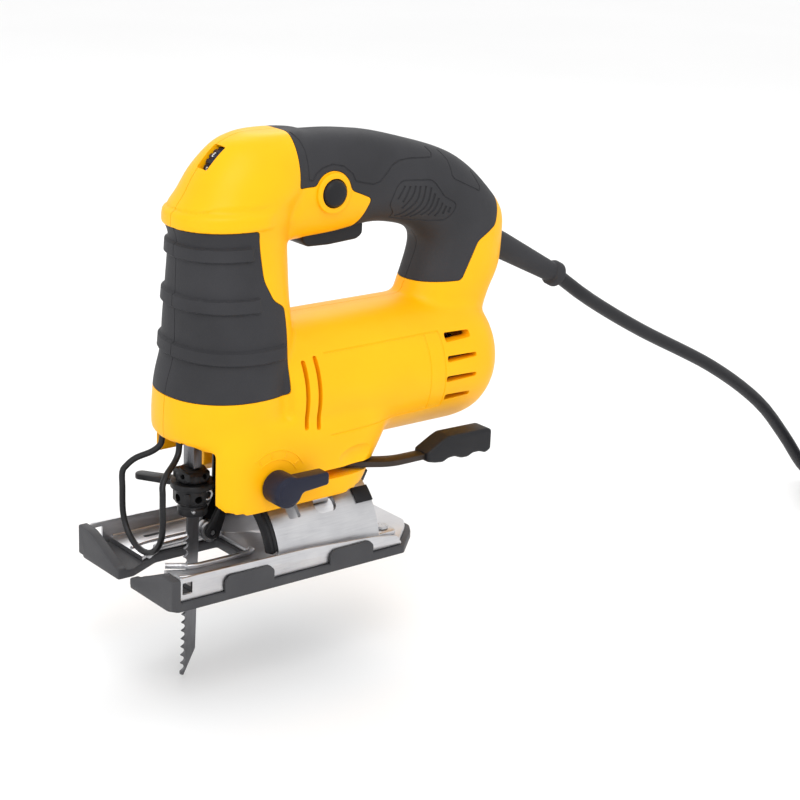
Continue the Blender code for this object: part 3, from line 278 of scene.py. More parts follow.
# %% Cord route
CORD_DIAMETER = 0.007
CORD_ROUTE = [
    (178.3, 0, 107.4), (202, 0, 91.5), (240, 0, 70), (297, 0, 41), (338, 0, 14), (366, 2, -12),
    (388, 5, -34.5), (404, 7.2, -45.8),
]
TAIL_ROUTE = [(436.5, -2.9, -25.5), (441.8, -8.5, -24.0), (445, -15.2, -23.1)]
PLUG_WAY = Vector((0.422, -0.906, 0)).normalized()
COIL_CENTRE = mm(425, -45.5)
COIL_RADIUS, COIL_LOW = 38.5, -48.4
CELLS = [(1, 0), (0, 0), (-1, 0), (-1, 1), (-1, 2), (0, 2), (0, 1), (1, 1), (1, 2)]
CHANGE, STAGGER, FIRST_CHANGE = 66, 26, 116
ARRIVE, LEAVE, EASE, COIL_STEP = -8, 5, 50, 9
ARRIVE_OUT, LEAVE_UP = 8.1, 7.8


def smooth(value):
    """0 to 1 with level ends."""
    value = min(1.0, max(0.0, value))
    return value * value * (3 - 2 * value)


def curve_through(points, spacing):
    """Points about this far apart on a smooth line through the given ones."""
    points = [Vector(point) for point in points]
    ends = [2 * points[0] - points[1]] + points + [2 * points[-1] - points[-2]]
    route = [points[0]]
    for a, b, c, d in zip(ends, ends[1:], ends[2:], ends[3:]):
        steps = max(1, round((c - b).length / spacing))
        for k in range(1, steps + 1):
            t = k / steps
            bend = (2 * a - 5 * b + 4 * c - d) * t**2 + (3 * b - a - 3 * c + d) * t**3
            route.append(0.5 * (2 * b + (c - a) * t + bend))
    return route


def coil_point(turned):
    """Where the cord is when it has turned this many degrees round the coil."""
    column, layer = CELLS[0]
    for k in range(len(CELLS) - 1):
        start = 360 * k + FIRST_CHANGE + STAGGER * (len(CELLS) - 2 - k)
        share = smooth((turned - start) / CHANGE)
        column += (CELLS[k + 1][0] - CELLS[k][0]) * share
        layer += (CELLS[k + 1][1] - CELLS[k][1]) * share
    pitch = CORD_DIAMETER * 1000
    radius = COIL_RADIUS + pitch * column + ARRIVE_OUT * (1 - smooth((turned - ARRIVE) / EASE))
    last = turned - 360 * (len(CELLS) - 1)
    height = COIL_LOW + pitch * layer
    height += LEAVE_UP * smooth((last + EASE - LEAVE) / EASE)
    angle = math.radians(90 - turned)
    x = 1000 * COIL_CENTRE.x + radius * math.cos(angle)
    y = 1000 * COIL_CENTRE.y + radius * math.sin(angle)
    return mm(x, y, height)


def cord_points():
    """The whole cord: the fall to the bench, the coil and the tail."""
    last_turn = 360 * (len(CELLS) - 1) + LEAVE
    steps = round((last_turn - ARRIVE) / COIL_STEP)
    coil = [coil_point(ARRIVE + (last_turn - ARRIVE) * k / steps) for k in range(steps + 1)]
    fall = curve_through([mm(*point) for point in CORD_ROUTE] + coil[:1], 0.009)[:-1]
    tail = curve_through(coil[-1:] + [mm(*point) for point in TAIL_ROUTE], 0.004)[1:]
    return fall + coil + tail


# %% Lay the cord
def round_curve(name, points, radius, resolution, closed=False):
    """A curve through the points, with a round section."""
    curve = bpy.data.curves.new(name, "CURVE")
    curve.dimensions = "3D"
    curve.bevel_depth, curve.bevel_resolution = radius, resolution
    curve.use_fill_caps = not closed
    spline = curve.splines.new("POLY")
    spline.points.add(len(points) - 1)
    for target, point in zip(spline.points, points):
        target.co = (*point, 1)
    spline.use_cyclic_u = closed
    return curve


def lay_cord():
    points = cord_points()
    data = round_curve("power_cord", points, CORD_DIAMETER / 2, 5)
    data.splines[0].use_smooth = True
    item = linked("power_cord", data)
    data.materials.append(SATIN_RUBBER)
    length = sum((b - a).length for a, b in zip(points, points[1:]))
    print("cord", round(length, 3), "m in", len(points), "points")
    return item, length


power_cord, cord_length = lay_cord()

# %% [markdown]
# ## Mesh tools
#
# Each helper starts from a bmesh operator's shape and returns a plain object whose place is
# in its mesh. carve() applies a Boolean at once, so the object is left without modifiers.

# %% Basic shapes
PLANES = {
    "XY": Matrix.Identity(4),
    "XZ": Matrix.Rotation(math.radians(90), 4, "X"),
    "YZ": Matrix(((0, 0, 1, 0), (1, 0, 0, 0), (0, 1, 0, 0), (0, 0, 0, 1))),
}


def solid(bm, name="piece"):
    """An object of a finished bmesh, with its faces outwards."""
    bmesh.ops.remove_doubles(bm, verts=bm.verts, dist=1e-7)
    bmesh.ops.recalc_face_normals(bm, faces=bm.faces)
    mesh = bpy.data.meshes.new(name)
    bm.to_mesh(mesh)
    bm.free()
    return linked(name, mesh)


def facing(direction, place, axis="Z"):
    """The matrix that turns an axis along a direction and moves it to a place."""
    turn = Vector(direction).to_track_quat(axis, "Y").to_matrix().to_4x4()
    return Matrix.Translation(place) @ turn


def soften(bm, radius, segments=3, sharpest=None):
    """Rounds the edges, or only those that turn by more than an angle in degrees."""
    edges = bm.edges[:]
    if sharpest:
        limit = math.radians(sharpest)
        edges = [e for e in edges if len(e.link_faces) == 2 and e.calc_face_angle() > limit]
    bmesh.ops.bevel(
        bm, geom=edges, offset=radius, segments=segments, profile=0.5,
        affect="EDGES", material=-1, clamp_overlap=True,
    )


def block(low, high, radius=0.0, segments=3):
    """A box between two corners, with rounded edges."""
    low, high = Vector(low), Vector(high)
    bm = bmesh.new()
    bmesh.ops.create_cube(bm, size=1)
    bmesh.ops.scale(bm, vec=high - low, verts=bm.verts)
    bmesh.ops.translate(bm, vec=(low + high) / 2, verts=bm.verts)
    if radius:
        soften(bm, radius, segments)
    return solid(bm)


def rod(start, end, radius, count=48, end_radius=None, edge=0.0):
    """A round bar or cone between two points."""
    start, end = Vector(start), Vector(end)
    bm = bmesh.new()
    bmesh.ops.create_cone(
        bm, cap_ends=True, segments=count, radius1=radius,
        radius2=radius if end_radius is None else end_radius, depth=(end - start).length,
    )
    if edge:
        soften(bm, edge, 3, 40)
    bmesh.ops.transform(bm, matrix=facing(end - start, (start + end) / 2), verts=bm.verts)
    return solid(bm)


def lengthwise(y, z, low, high, radius, count=48):
    """A bar along X, in millimetres."""
    return rod(mm(low, y, z), mm(high, y, z), mm(radius), count)


def crosswise(x, z, low, high, radius, count=48):
    """A bar along Y, in millimetres."""
    return rod(mm(x, low, z), mm(x, high, z), mm(radius), count)


def upright(x, y, low, high, radius, count=48):
    """A bar along Z, in millimetres."""
    return rod(mm(x, y, low), mm(x, y, high), mm(radius), count)


def spun(profile, start, direction, count=64, edge=0.0):
    """A closed (distance along, radius) profile spun about an axis."""
    bm = bmesh.new()
    corners = [bm.verts.new((radius, 0, along)) for along, radius in profile]
    for first, second in zip(corners, corners[1:] + corners[:1]):
        if first.co.x > 1e-7 or second.co.x > 1e-7:
            bm.edges.new((first, second))
    bmesh.ops.spin(
        bm, geom=bm.verts[:] + bm.edges[:], axis=(0, 0, 1), cent=(0, 0, 0),
        angle=math.tau, steps=count, use_merge=True,
    )
    bmesh.ops.remove_doubles(bm, verts=bm.verts, dist=1e-7)
    if edge:
        soften(bm, edge, 3, 40)
    bmesh.ops.transform(bm, matrix=facing(direction, start), verts=bm.verts)
    return solid(bm)


def eased(outline, radius, steps=4):
    """A closed outline with its corners rounded."""
    points = [Vector(point) for point in outline]
    made = []
    for before, here, after in zip(points[-1:] + points[:-1], points, points[1:] + points[:1]):
        reach = min(radius, (before - here).length / 2.2, (after - here).length / 2.2)
        one = here + (before - here).normalized() * reach
        two = here + (after - here).normalized() * reach
        for k in range(steps + 1):
            t = k / steps
            made.append(one * (1 - t) ** 2 + 2 * here * t * (1 - t) + two * t**2)
    return made


def plate(outline, plane, low, high, radius=0.0, segments=3):
    """A flat outline given thickness, with its rims rounded."""
    bm = bmesh.new()
    corners = [bm.verts.new((u, v, low)) for u, v in outline]
    bm.faces.new(corners)
    bmesh.ops.remove_doubles(bm, verts=bm.verts, dist=1e-6)
    made = bmesh.ops.extrude_face_region(bm, geom=bm.faces[:])
    top = [v for v in made["geom"] if isinstance(v, bmesh.types.BMVert)]
    bmesh.ops.translate(bm, vec=(0, 0, high - low), verts=top)
    bmesh.ops.recalc_face_normals(bm, faces=bm.faces)
    if radius:
        soften(bm, radius, segments, 60)
    if plane == "XZ":
        bmesh.ops.scale(bm, vec=(1, 1, -1), verts=bm.verts)
        bmesh.ops.reverse_faces(bm, faces=bm.faces)
    bmesh.ops.transform(bm, matrix=PLANES[plane], verts=bm.verts)
    return solid(bm)


def slab(outline, corner, plane, low, high, radius=0.0, segments=3, steps=4):
    """A plate with rounded corners and rims, in millimetres throughout."""
    points = eased([mm(*point) for point in outline], mm(corner), steps)
    return plate(points, plane, mm(low), mm(high), mm(radius), segments)


def mesh_of(curve, name):
    """A curve turned into a mesh object."""
    guide = linked(name, curve)
    graph = bpy.context.evaluated_depsgraph_get()
    mesh = bpy.data.meshes.new_from_object(guide.evaluated_get(graph))
    bpy.data.objects.remove(guide)
    bm = bmesh.new()
    bm.from_mesh(mesh)
    bpy.data.meshes.remove(mesh)
    return solid(bm, name)


def wire(points, radius, resolution=5, closed=False):
    """A round wire along the points."""
    return mesh_of(round_curve("wire", points, radius, resolution, closed), "wire")


# %% Boolean, joining and finishing
def applied(item):
    """The object with its modifiers worked into its mesh."""
    graph = bpy.context.evaluated_depsgraph_get()
    mesh = bpy.data.meshes.new_from_object(item.evaluated_get(graph))
    item.modifiers.clear()
    item.data = mesh
    return item


def carve(item, cutters, operation="DIFFERENCE", keep=False):
    """Cuts, unites or intersects an object with others, which are then removed."""
    for other in cutters if isinstance(cutters, (list, tuple)) else [cutters]:
        change = item.modifiers.new("carve", "BOOLEAN")
        change.operation, change.object, change.solver = operation, other, "MANIFOLD"
        applied(item)
        if not keep:
            bpy.data.objects.remove(other)
    return item


def united(item, *others):
    return carve(item, others, "UNION")


def merged(*items):
    """Several closed shells in one object."""
    bm = bmesh.new()
    for item in items:
        bm.from_mesh(item.data)
        bpy.data.objects.remove(item)
    mesh = bpy.data.meshes.new("merged")
    bm.to_mesh(mesh)
    bm.free()
    return linked("merged", mesh)


def copy_of(item):
    return linked("copy", item.data.copy())


def flipped(item):
    """The piece turned over to the other side of Y = 0."""
    item.data.transform(Matrix.Scale(-1, 4, (0, 1, 0)))
    item.data.flip_normals()
    return item


def mirrored(item):
    """The piece joined to its mirror image on the other side of Y = 0."""
    return merged(item, flipped(copy_of(item)))


def finished(item, name, body, material, replaces=(), angle=32):
    """Names a piece, gives it its finish, ties it to its body and hides the solids it replaces."""
    item.name = item.data.name = name
    item.data.materials.clear()
    item.data.materials.append(material)
    item.data.shade_smooth()
    item.data.set_sharp_from_angle(angle=math.radians(angle))
    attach(item, body)
    if replaces:
        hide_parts(*replaces)
    print(name, len(item.data.polygons), "faces")
    return item


# %% [markdown]
# ## Housing form
#
# The two shells are mouldings whose shapes run into each other with soft fillets. Each limb
# is lofted from oval rings, and a voxel remesh turns the overlapping limbs into one skin.
# Smoothing that skin gives the fillets. The same form, pulled in, is the surface under the
# rubber, and pulled in further it is the hollow inside.
#
# A row of COLUMN or SKIRT is a height, the front and back X there, and a share of the half
# width. A row of HANDLE is a distance along it, a point of its underside, a point of its top
# and the share; BARREL has X and the share. POWERS says how square each limb's ovals are.

# %% Housing tables
SKIN, WALL = 2.0, 2.8
COLUMN = [
    (63.5, -51.5, 9, 1.00), (70, -52, 9, 1.00), (85.5, -51, 9, 1.00), (92, -49.5, 8.5, 1.00),
    (101, -46.8, 8, 1.00), (110, -46.2, 7.5, 0.99), (130, -46, 7, 0.86), (150, -45.4, 7, 0.765),
    (154.5, -45.2, 7, 0.76), (158, -47.5, 8, 0.80), (165, -47, 10, 0.78), (170, -43, 16, 0.76),
    (180, -37, 22, 0.69), (187, -31, 23, 0.59), (193, -24, 20, 0.45), (196.2, -14, 15, 0.30),
]
HANDLE = [
    (0, 6, 146, 6, 195.2, 1.0), (23, 30, 147, 28, 194.6, 1.0), (46, 54, 149.5, 50, 192.3, 1.0),
    (68, 71, 147, 76.5, 186, 1.0), (87, 82.5, 142, 100.5, 178, 1.0), (102, 86.5, 136, 121, 163, 1.0),
    (116, 84.5, 129, 134, 144.5, 1.0), (128, 81, 121, 133.5, 125, 0.98), (141, 78, 112, 127, 110, 0.98),
    (160, 77.5, 92, 120, 92, 0.98),
]
BARREL = [(-4, 0.96), (4, 1.0), (99, 1.0), (108.5, 0.96), (115, 0.85), (119.5, 0.70), (122.5, 0.40)]
SKIRT = [(29.6, -42.5, 40, 0.96), (40, -43, 45, 0.98), (58, -43, 55, 1.0), (72, -43, 62, 0.96)]
HALF_WIDTHS = {"column": 30.0, "handle": 17.5, "barrel": 32.0, "skirt": 32.0}
POWERS = {"column": 2.2, "handle": 2.3, "barrel": 2, "skirt": 5}
CROWN_START, CROWN_RISE = 180, 16.4
BARREL_END, BARREL_CLOSING = 108, 6
MOTOR_Z, TILT_Z = 80.5, 4.0
TILT_SWEEP, SADDLE = 41.1, 34.6
COARSE = 0.0016
FINE = 0.0010


def slopes(xs, ys):
    """Slopes that pass through a table without overshooting it."""
    steps = [(y2 - y1) / (x2 - x1) for x1, x2, y1, y2 in zip(xs, xs[1:], ys, ys[1:])]
    made = [steps[0]]
    for one, two in zip(steps, steps[1:]):
        made.append(0.0 if one * two <= 0 else 2 * one * two / (one + two))
    return made + [steps[-1]]


def refined(rows, spacing):
    """The rows of a table with more between them, on smooth curves."""
    columns = list(zip(*rows))
    xs, made = columns[0], [rows[0]]
    bends = [slopes(xs, ys) for ys in columns[1:]]
    for k in range(len(xs) - 1):
        width = xs[k + 1] - xs[k]
        count = max(1, math.ceil(width / spacing))
        for step in range(1, count + 1):
            t = step / count
            row = [xs[k] + width * t]
            for ys, bend in zip(columns[1:], bends):
                rise = ys[k] * (2 * t**3 - 3 * t**2 + 1) + ys[k + 1] * (3 * t**2 - 2 * t**3)
                lean = bend[k] * (t**3 - 2 * t**2 + t) + bend[k + 1] * (t**3 - t**2)
                row.append(rise + lean * width)
            made.append(tuple(row))
    return made


# %% Lofted limbs
def ring(bm, centre, across, over, power, count=96):
    """A circle from the operator, pushed out to a rounded oblong."""
    made = bmesh.ops.create_circle(bm, segments=count, radius=1)["verts"]
    for vert in made:
        c, s = vert.co.x, vert.co.y
        u = math.copysign(abs(c) ** (2 / power), c)
        v = math.copysign(abs(s) ** (2 / power), s)
        vert.co = Vector(centre) + Vector(across) * u + Vector(over) * v
    return list({e for vert in made for e in vert.link_edges})


def limb(sections):
    """A closed skin bridged through ovals, each (centre, half-axis, half-axis, power)."""
    bm = bmesh.new()
    rings = [ring(bm, *section) for section in sections]
    for low, high in zip(rings, rings[1:]):
        bmesh.ops.bridge_loops(bm, edges=low + high)
    for end in (rings[0], rings[-1]):
        bmesh.ops.contextual_create(bm, geom=end)
    bmesh.ops.triangulate(bm, faces=[f for f in bm.faces if len(f.verts) > 4])
    return solid(bm)


def level_oval(low, high, z, width, kind):
    """A section that lies level, from one X to another."""
    return mm((low + high) / 2, 0, z), mm((high - low) / 2, 0, 0), mm(0, width, 0), POWERS[kind]


def column(inset):
    """The gear column. Its hollow starts two rings up, which leaves a floor below it."""
    sections = []
    for z, front, back, share in refined(COLUMN, 3):
        z -= inset * max(0, (z - CROWN_START) / CROWN_RISE)
        width = HALF_WIDTHS["column"] * share - inset
        sections.append(level_oval(front + inset, back - inset, z, width, "column"))
    return limb(sections[2:] if inset > SKIN else sections)


def handle(inset):
    sections = []
    for _, low_x, low_z, high_x, high_z, share in refined(HANDLE, 4):
        low, high = mm(low_x, 0, low_z), mm(high_x, 0, high_z)
        half = (high - low) / 2 - (high - low).normalized() * mm(inset)
        width = HALF_WIDTHS["handle"] * share - inset
        sections.append(((low + high) / 2, half, mm(0, width, 0), POWERS["handle"]))
    return limb(sections)


def barrel(inset):
    """The motor's barrel. Pulled in, its end closes earlier."""
    sections = []
    for k, (x, share) in enumerate(refined(BARREL, 3)):
        x += -inset * smooth((x - BARREL_END) / BARREL_CLOSING) if k else inset
        radius = HALF_WIDTHS["barrel"] * share - inset
        sections.append((mm(x, 0, MOTOR_Z), mm(0, radius, 0), mm(0, 0, radius), POWERS["barrel"]))
    return limb(sections)


def skirt():
    rows = refined(SKIRT, 4)
    width = HALF_WIDTHS["skirt"]
    return limb([level_oval(front, back, z, width * share, "skirt") for z, front, back, share in rows])


def remeshed(item, size, turns):
    """One even skin over everything in the object, then smoothed."""
    change = item.modifiers.new("skin", "REMESH")
    change.mode, change.voxel_size = "VOXEL", size
    soft = item.modifiers.new("soft", "SMOOTH")
    soft.factor, soft.iterations = 0.5, turns
    return applied(item)


def body_form(inset):
    """The housing's whole form, pulled in by inset millimetres."""
    limbs = [column(inset), handle(inset), barrel(inset)]
    if not inset:
        limbs.append(skirt())
    return remeshed(merged(*limbs), COARSE, 8)


# %% [markdown]
# The outer form loses the room that the tilting shoe needs, the throat for the plunger and
# the pocket above the clamp. It is then remeshed once more, finer, so that these edges get
# the small radius that a moulded edge has. Last, the raised bands of the nose are pushed out
# along the surface.

# %% Outer form
BANDS = [(148.0, -22.5), (126.0, -21.0), (104.0, -8.0)]
BAND_HALF, BAND_EDGE, BAND_RISE = 3.4, 0.7, 1.5
LIP, LIP_END = (157.8, 166.0), -8.0
LIP_RISE, CREASE_DEPTH = 1.1, 0.5


def band_height(point):
    """How far the nose's rubber stands proud here, in millimetres."""
    x, z = point.x * 1000, point.z * 1000
    height = 0.0
    for middle, end in BANDS:
        across = smooth((BAND_HALF - abs(z - middle)) / BAND_EDGE)
        height = max(height, BAND_RISE * across * smooth((end - x) / 2.0 + 1))
    lip = smooth((z - LIP[0]) / 1.0) * smooth((LIP[1] - z) / 2.5)
    crease = smooth(1 - abs(z - LIP[1] - 0.8) / 2.2)
    return height + (LIP_RISE * lip - CREASE_DEPTH * crease) * smooth((LIP_END - x) / 8.0)


def raise_bands(item):
    """Pushes the surface out along its normals by band_height()."""
    mesh = item.data
    normals = [vert.normal.copy() for vert in mesh.vertices]
    for vert, normal in zip(mesh.vertices, normals):
        if normal.z < 0.5 and vert.co.x < -0.006:
            vert.co += normal * mm(band_height(vert.co))
    return item


def throat_tools():
    """The throat, the clamp's pocket, and the right-hand skirt's start further back."""
    throat = block(mm(-80, -23.6, 0), mm(-6, 23.6, 62))
    pocket = block(mm(-49, -12, 55), mm(-25, 12, 66))
    return [throat, pocket, block(mm(-80, 20, 0), mm(-15, 60, 49))]


def outer_form():
    """The whole outside, with a saddle under the barrel that the arch slides round."""
    form = body_form(0)
    carve(form, lengthwise(0, TILT_Z, -90, 90, TILT_SWEEP, 128))
    united(form, block(mm(-5, -13.5, 31), mm(38, 13.5, 50)))
    carve(form, [lengthwise(0, TILT_Z, -90, 90, SADDLE, 128)] + throat_tools())
    remeshed(form, FINE, 3)
    return raise_bands(form)


outer = outer_form()
surface = BVHTree.FromPolygons(
    [vert.co.copy() for vert in outer.data.vertices],
    [tuple(face.vertices) for face in outer.data.polygons],
)
print("outer form", len(outer.data.polygons), "faces")

# %% [markdown]
# ## Lines that follow the surface
#
# Panel lines and ribs are drawn flat, seen from the side, and dropped onto the surface by
# shooting a ray at it. A thin wire along the line is then cut from the piece or added to it.

# %% Dropping a line onto the surface
def on_surface(x, z, side, lift=0.0):
    """The surface's point beside (x, z) in millimetres, on the left (-1) or right (1)."""
    start = mm(x, 60 * side, z)
    place, normal, _, _ = surface.ray_cast(start, Vector((0, -side, 0)))
    if place is None:
        return None
    return place + normal * mm(lift)


def surface_line(points, side, radius, lift=0.0, spacing=1.2, closed=False):
    """A wire that lies along the surface under a flat line."""
    flat = [Vector((x, z)) for x, z in points]
    if closed:
        flat.append(flat[0])
    dense = [flat[0]]
    for a, b in zip(flat, flat[1:]):
        count = max(1, round((b - a).length / spacing))
        dense += [a.lerp(b, k / count) for k in range(1, count + 1)]
    placed = [on_surface(p.x, p.y, side, lift) for p in dense]
    placed = [p for p in placed if p is not None]
    if closed:
        placed = placed[:-1]
    return wire(placed, mm(radius), 3, closed)


# %% [markdown]
# ## Zones of rubber
#
# The grip and the nose pad are rubber moulded into a shallow step in the plastic. Seen from
# the side each has an outline. The plastic is cut back inside it to the form under the skin,
# and the rubber is what lies outside that form, a hair smaller all round, which leaves the
# dark line that shows on the real tool.

# %% Zones
GRIP_OUTLINE = [
    (5, 205), (5, 172.4), (15.2, 172.4), (16.8, 175), (19.6, 177.4), (24.4, 178.6), (29.5, 177.2),
    (33, 173.5), (34.4, 168.7), (46, 164), (42, 151.5), (39.5, 146), (39.5, 141), (68, 130),
    (70, 119), (101, 119), (109.7, 137), (121, 143), (127, 157), (135, 170), (140, 205),
]
PAD_OUTLINE = [(-80, 158), (-18.5, 158), (-16.5, 136), (-12, 127), (-5.5, 123), (-4.2, 84), (-80, 84)]
ZONE_CORNER, RUBBER_GAP = 2.2, 0.3
SHELL_GAP = 0.0003


def pulled(outline, shrink):
    """An outline moved inwards by this much."""
    points = [Vector(point) for point in outline]
    area = sum(a.x * b.y - b.x * a.y for a, b in zip(points, points[1:] + points[:1]))
    side = 1 if area > 0 else -1
    made = []
    for before, here, after in zip(points[-1:] + points[:-1], points, points[1:] + points[:1]):
        one, two = (here - before).normalized(), (after - here).normalized()
        normal = (Vector((-one.y, one.x)) + Vector((-two.y, two.x))) * side
        made.append(here + normal / max(0.4, normal.length_squared / 2) * shrink)
    return made


def zone(outline, shrink=0.0):
    """A block through the housing over an outline in millimetres."""
    return slab(pulled(outline, shrink), ZONE_CORNER, "XZ", -60, 60)


def dial_slot():
    """The window over the dial, cut square to the slope of the crown."""
    out, along = Vector((-0.762, 0.648)), Vector((0.648, 0.762))
    corners = []
    for reach, half in ((6, -6.6), (22, -6.6), (22, 6.6), (6, 6.6)):
        place = Vector(DIAL_AT) + out * reach + along * half
        corners.append(mm(*place))
    return plate(corners, "XZ", mm(DIAL_ROOM[0]), mm(DIAL_ROOM[1]), 0.0006, 2)


# Each screw as X, Z and the depth of its head; other places as (X, Z).
SCREWS = {
    "handle": (66, 167, 16.5),
    "post": (112, 128, 16.5),
    "crown": (4, 183, 14.5),
    "barrel": (98, 57, 20),
}
DIAL_AT, LOCK_AT, SELECTOR_AT, ORBIT_PIN_AT = (-20.8, 179.4), (24.4, 168.7), (-13.7, 44.5), (-20, 52)
DIAL_RADIUS, DIAL_ROOM = 11.4, (-5.9, 0.9)
RELIEF_ROOT, RELIEF_END, RELIEF_HOLE = (135, 0, 129.9), (177.8, 0, 107.7), 0.0069


def relief_point(along):
    """A point on the cord guard's axis, this far from where it leaves the housing."""
    root, end = mm(*RELIEF_ROOT), mm(*RELIEF_END)
    return root + (end - root).normalized() * along


# %% Hollow and holes
def hollow():
    """The room inside the shells, without the bosses and ribs that stand in it."""
    inner = body_form(SKIN + WALL)
    bosses = [crosswise(x, z, -40, 40, 5, 32) for x, z, _ in SCREWS.values()]
    bearing_rib = lengthwise(0, MOTOR_Z, 106, 111, 32, 64)
    return carve(inner, bosses + [bearing_rib])


def relief_hole():
    return rod(relief_point(-0.012), relief_point(0.012), RELIEF_HOLE)


def trigger_window(radius=0.0):
    return block(mm(15, -8, 130), mm(50, 8, 160), radius, 2)


def housing_holes():
    """What opens the shells for the moving parts, the cord guard and the screws."""
    made = [
        block(mm(-40.4, -6.0, 50), mm(-32.6, 6.0, 75)),  # the plunger's way out
        upright(20, 0, 20, 51.4, 3.3),  # the tilt bolt
        block(mm(4.8, -45, 41.3), mm(52, 9, 46.1), 0.0006, 2),  # the tilt lever
        lengthwise(0, MOTOR_Z, 105, 112, 9.8),  # the rear bearing
        block(mm(-40.7, -6.2, 69), mm(-32.3, 6.2, 150)),  # the plunger
        trigger_window(0.0012),
        crosswise(*DIAL_AT, *DIAL_ROOM, 12.0, 64),
        dial_slot(),
        relief_hole(),
        rod(relief_point(-0.0114), relief_point(-0.0081), 0.0081),  # the guard's flange
        lengthwise(0, MOTOR_Z, -9.4, 9, 14.3),  # the front bearing
        crosswise(*ORBIT_PIN_AT, -26.8, 26.8, 2.3),
        crosswise(*SELECTOR_AT, -45, -20, 3.3),
        crosswise(*LOCK_AT, -30, -8, 6.6, 64),
    ]
    for side in (-1, 1):
        made.append(upright(-48, 7 * side, 50, 68, 1.7))  # the wire guard
    for x, z, head_y in SCREWS.values():
        made.append(crosswise(x, z, -11, 40, 2.2, 24))
        made.append(crosswise(x, z, head_y - 2.8, 40, 4.1, 32))
    return made


# %% [markdown]
# Cooling air enters through the rear slots and leaves through the two upright ones. They are
# cut right through, so the dark inside shows. The barrel's flat side panel is edged by fine
# lines, and a scoop above the tilt lever gives it room to be gripped.

# %% Vents and lines of the plastic
REAR_VENTS = [(83, 96.5, 15, 4.2), (82.5, 87, 17.5, 3.0), (82, 77.5, 18, 3.0), (83, 68, 15, 3.0)]


def vents(side):
    """The slots of one side: two upright ones, then the row at the rear."""
    made = []
    for x, low, high in ((3, 67, 98), (9.5, 66, 99)):
        made.append(block(mm(x - 1.1, 24, low), mm(x + 1.1, 40, high), 0.0009, 3))
    for x, z, length, tall in REAR_VENTS:
        low, high = z - tall / 2, z + tall / 2
        ends = [(x, low), (x + length, low + 0.6), (x + length, high - 0.4), (x, high)]
        made.append(slab(ends, 1.2, "XZ", 18, 40))
    return [flipped(item) for item in made] if side < 0 else made


PANEL_LINES = [
    [(15, 99.3), (80.3, 99.6)], [(16, 62.4), (82, 63.8)],
    [(71.9, 99.0), (72.6, 80), (73.5, 63.8)], [(80.3, 99.2), (81.2, 81), (82, 64.0)],
]


def plastic_lines(side):
    """Fine grooves in the plastic of one side."""
    return [surface_line(line, side, 0.45, 0.12, 2.5) for line in PANEL_LINES]


def scoop(side):
    """The dip above the tilt lever, and its mate on the other side."""
    bm = bmesh.new()
    bmesh.ops.create_icosphere(bm, subdivisions=4, radius=1)
    bmesh.ops.scale(bm, vec=mm(17, 6.0, 8.0), verts=bm.verts)
    bmesh.ops.translate(bm, vec=mm(34, 35.6 * side, 49.5), verts=bm.verts)
    return solid(bm)


# %% [markdown]
# ## Rubber relief
#
# The grip has a panel over its top, a smaller one behind it, and an oval of slanting grooves
# where the palm pushes. All of them are engraved with thin wires.

# %% Grip engraving
TOP_PANEL = [
    (2.8, 198.7), (6.5, 195.7), (9.0, 192.5), (10.3, 188.4), (11.1, 175.6), (13.2, 175.3),
    (15.2, 178.0), (19, 180.2), (24.4, 181.2), (30.4, 179.8), (34.9, 176.0), (36.4, 172.8),
    (40.4, 171.7), (46.4, 170.4), (50.2, 171.4), (53.9, 174.8), (57.3, 177.9), (61.5, 179.4),
    (68.5, 179.6), (81.9, 178.5), (83.4, 180.2), (82.1, 182.7),
]
REAR_PANEL = [
    (89.8, 180.6), (92.4, 176.2), (92.8, 169.4), (94.2, 167.7), (110.4, 160.4), (111.5, 162.5),
    (108.0, 169.3),
]
PALM = [
    (63.0, 170.4), (79.5, 169.1), (82.3, 167.1), (87.6, 160.5), (93.7, 157.3), (95.0, 155.4),
    (93.6, 152.3), (89.8, 149.0), (82.2, 149.2), (70.3, 150.6), (60.3, 152.8), (61.1, 154.9),
    (57.0, 159.5), (58.1, 163.6), (60.0, 168.3),
]
PALM_GROOVES = [
    [(64.4, 167.8), (61.2, 161.9)],
    [(67.5, 167.5), (64.4, 160.1)],
    [(70.7, 167.2), (68.7, 161.8), (64.7, 156.9)],
    [(73.3, 166.9), (71.9, 160.0), (66.4, 154.6), (62.8, 153.4)],
    [(76.5, 166.6), (74.7, 158.3), (69.2, 152.9), (66.9, 152.2)],
    [(79.7, 165.6), (77.9, 157.3), (73.9, 153.2), (71.6, 152.0)],
    [(82.1, 162.5), (80.2, 155.6), (76.6, 152.5)],
    [(84.5, 160.1), (82.9, 155.2), (80.4, 152.1)],
    [(86.9, 157.7), (85.7, 153.9), (84.0, 151.4)],
    [(89.2, 156.0), (87.9, 152.2)],
    [(91.6, 155.1), (90.8, 152.6)],
]
FINE_GROOVE, PALM_GROOVE = 0.42, 0.62


def grip_lines(side):
    made = [surface_line(panel, side, FINE_GROOVE, 0.05) for panel in (TOP_PANEL, REAR_PANEL)]
    made.append(surface_line(eased(PALM, 2.0, 3), side, FINE_GROOVE, 0.05, closed=True))
    for groove in PALM_GROOVES:
        bent = curve_through([Vector((*point, 0)) for point in groove], 1.0)
        made.append(surface_line([(p.x, p.y) for p in bent], side, PALM_GROOVE))
    return made


def half_space(side):
    """A block over one side, up to half the gap between the shells."""
    near, far = SHELL_GAP / 2 * side, 0.08 * side
    return block((-0.09, min(near, far), -0.02), (0.16, max(near, far), 0.23))


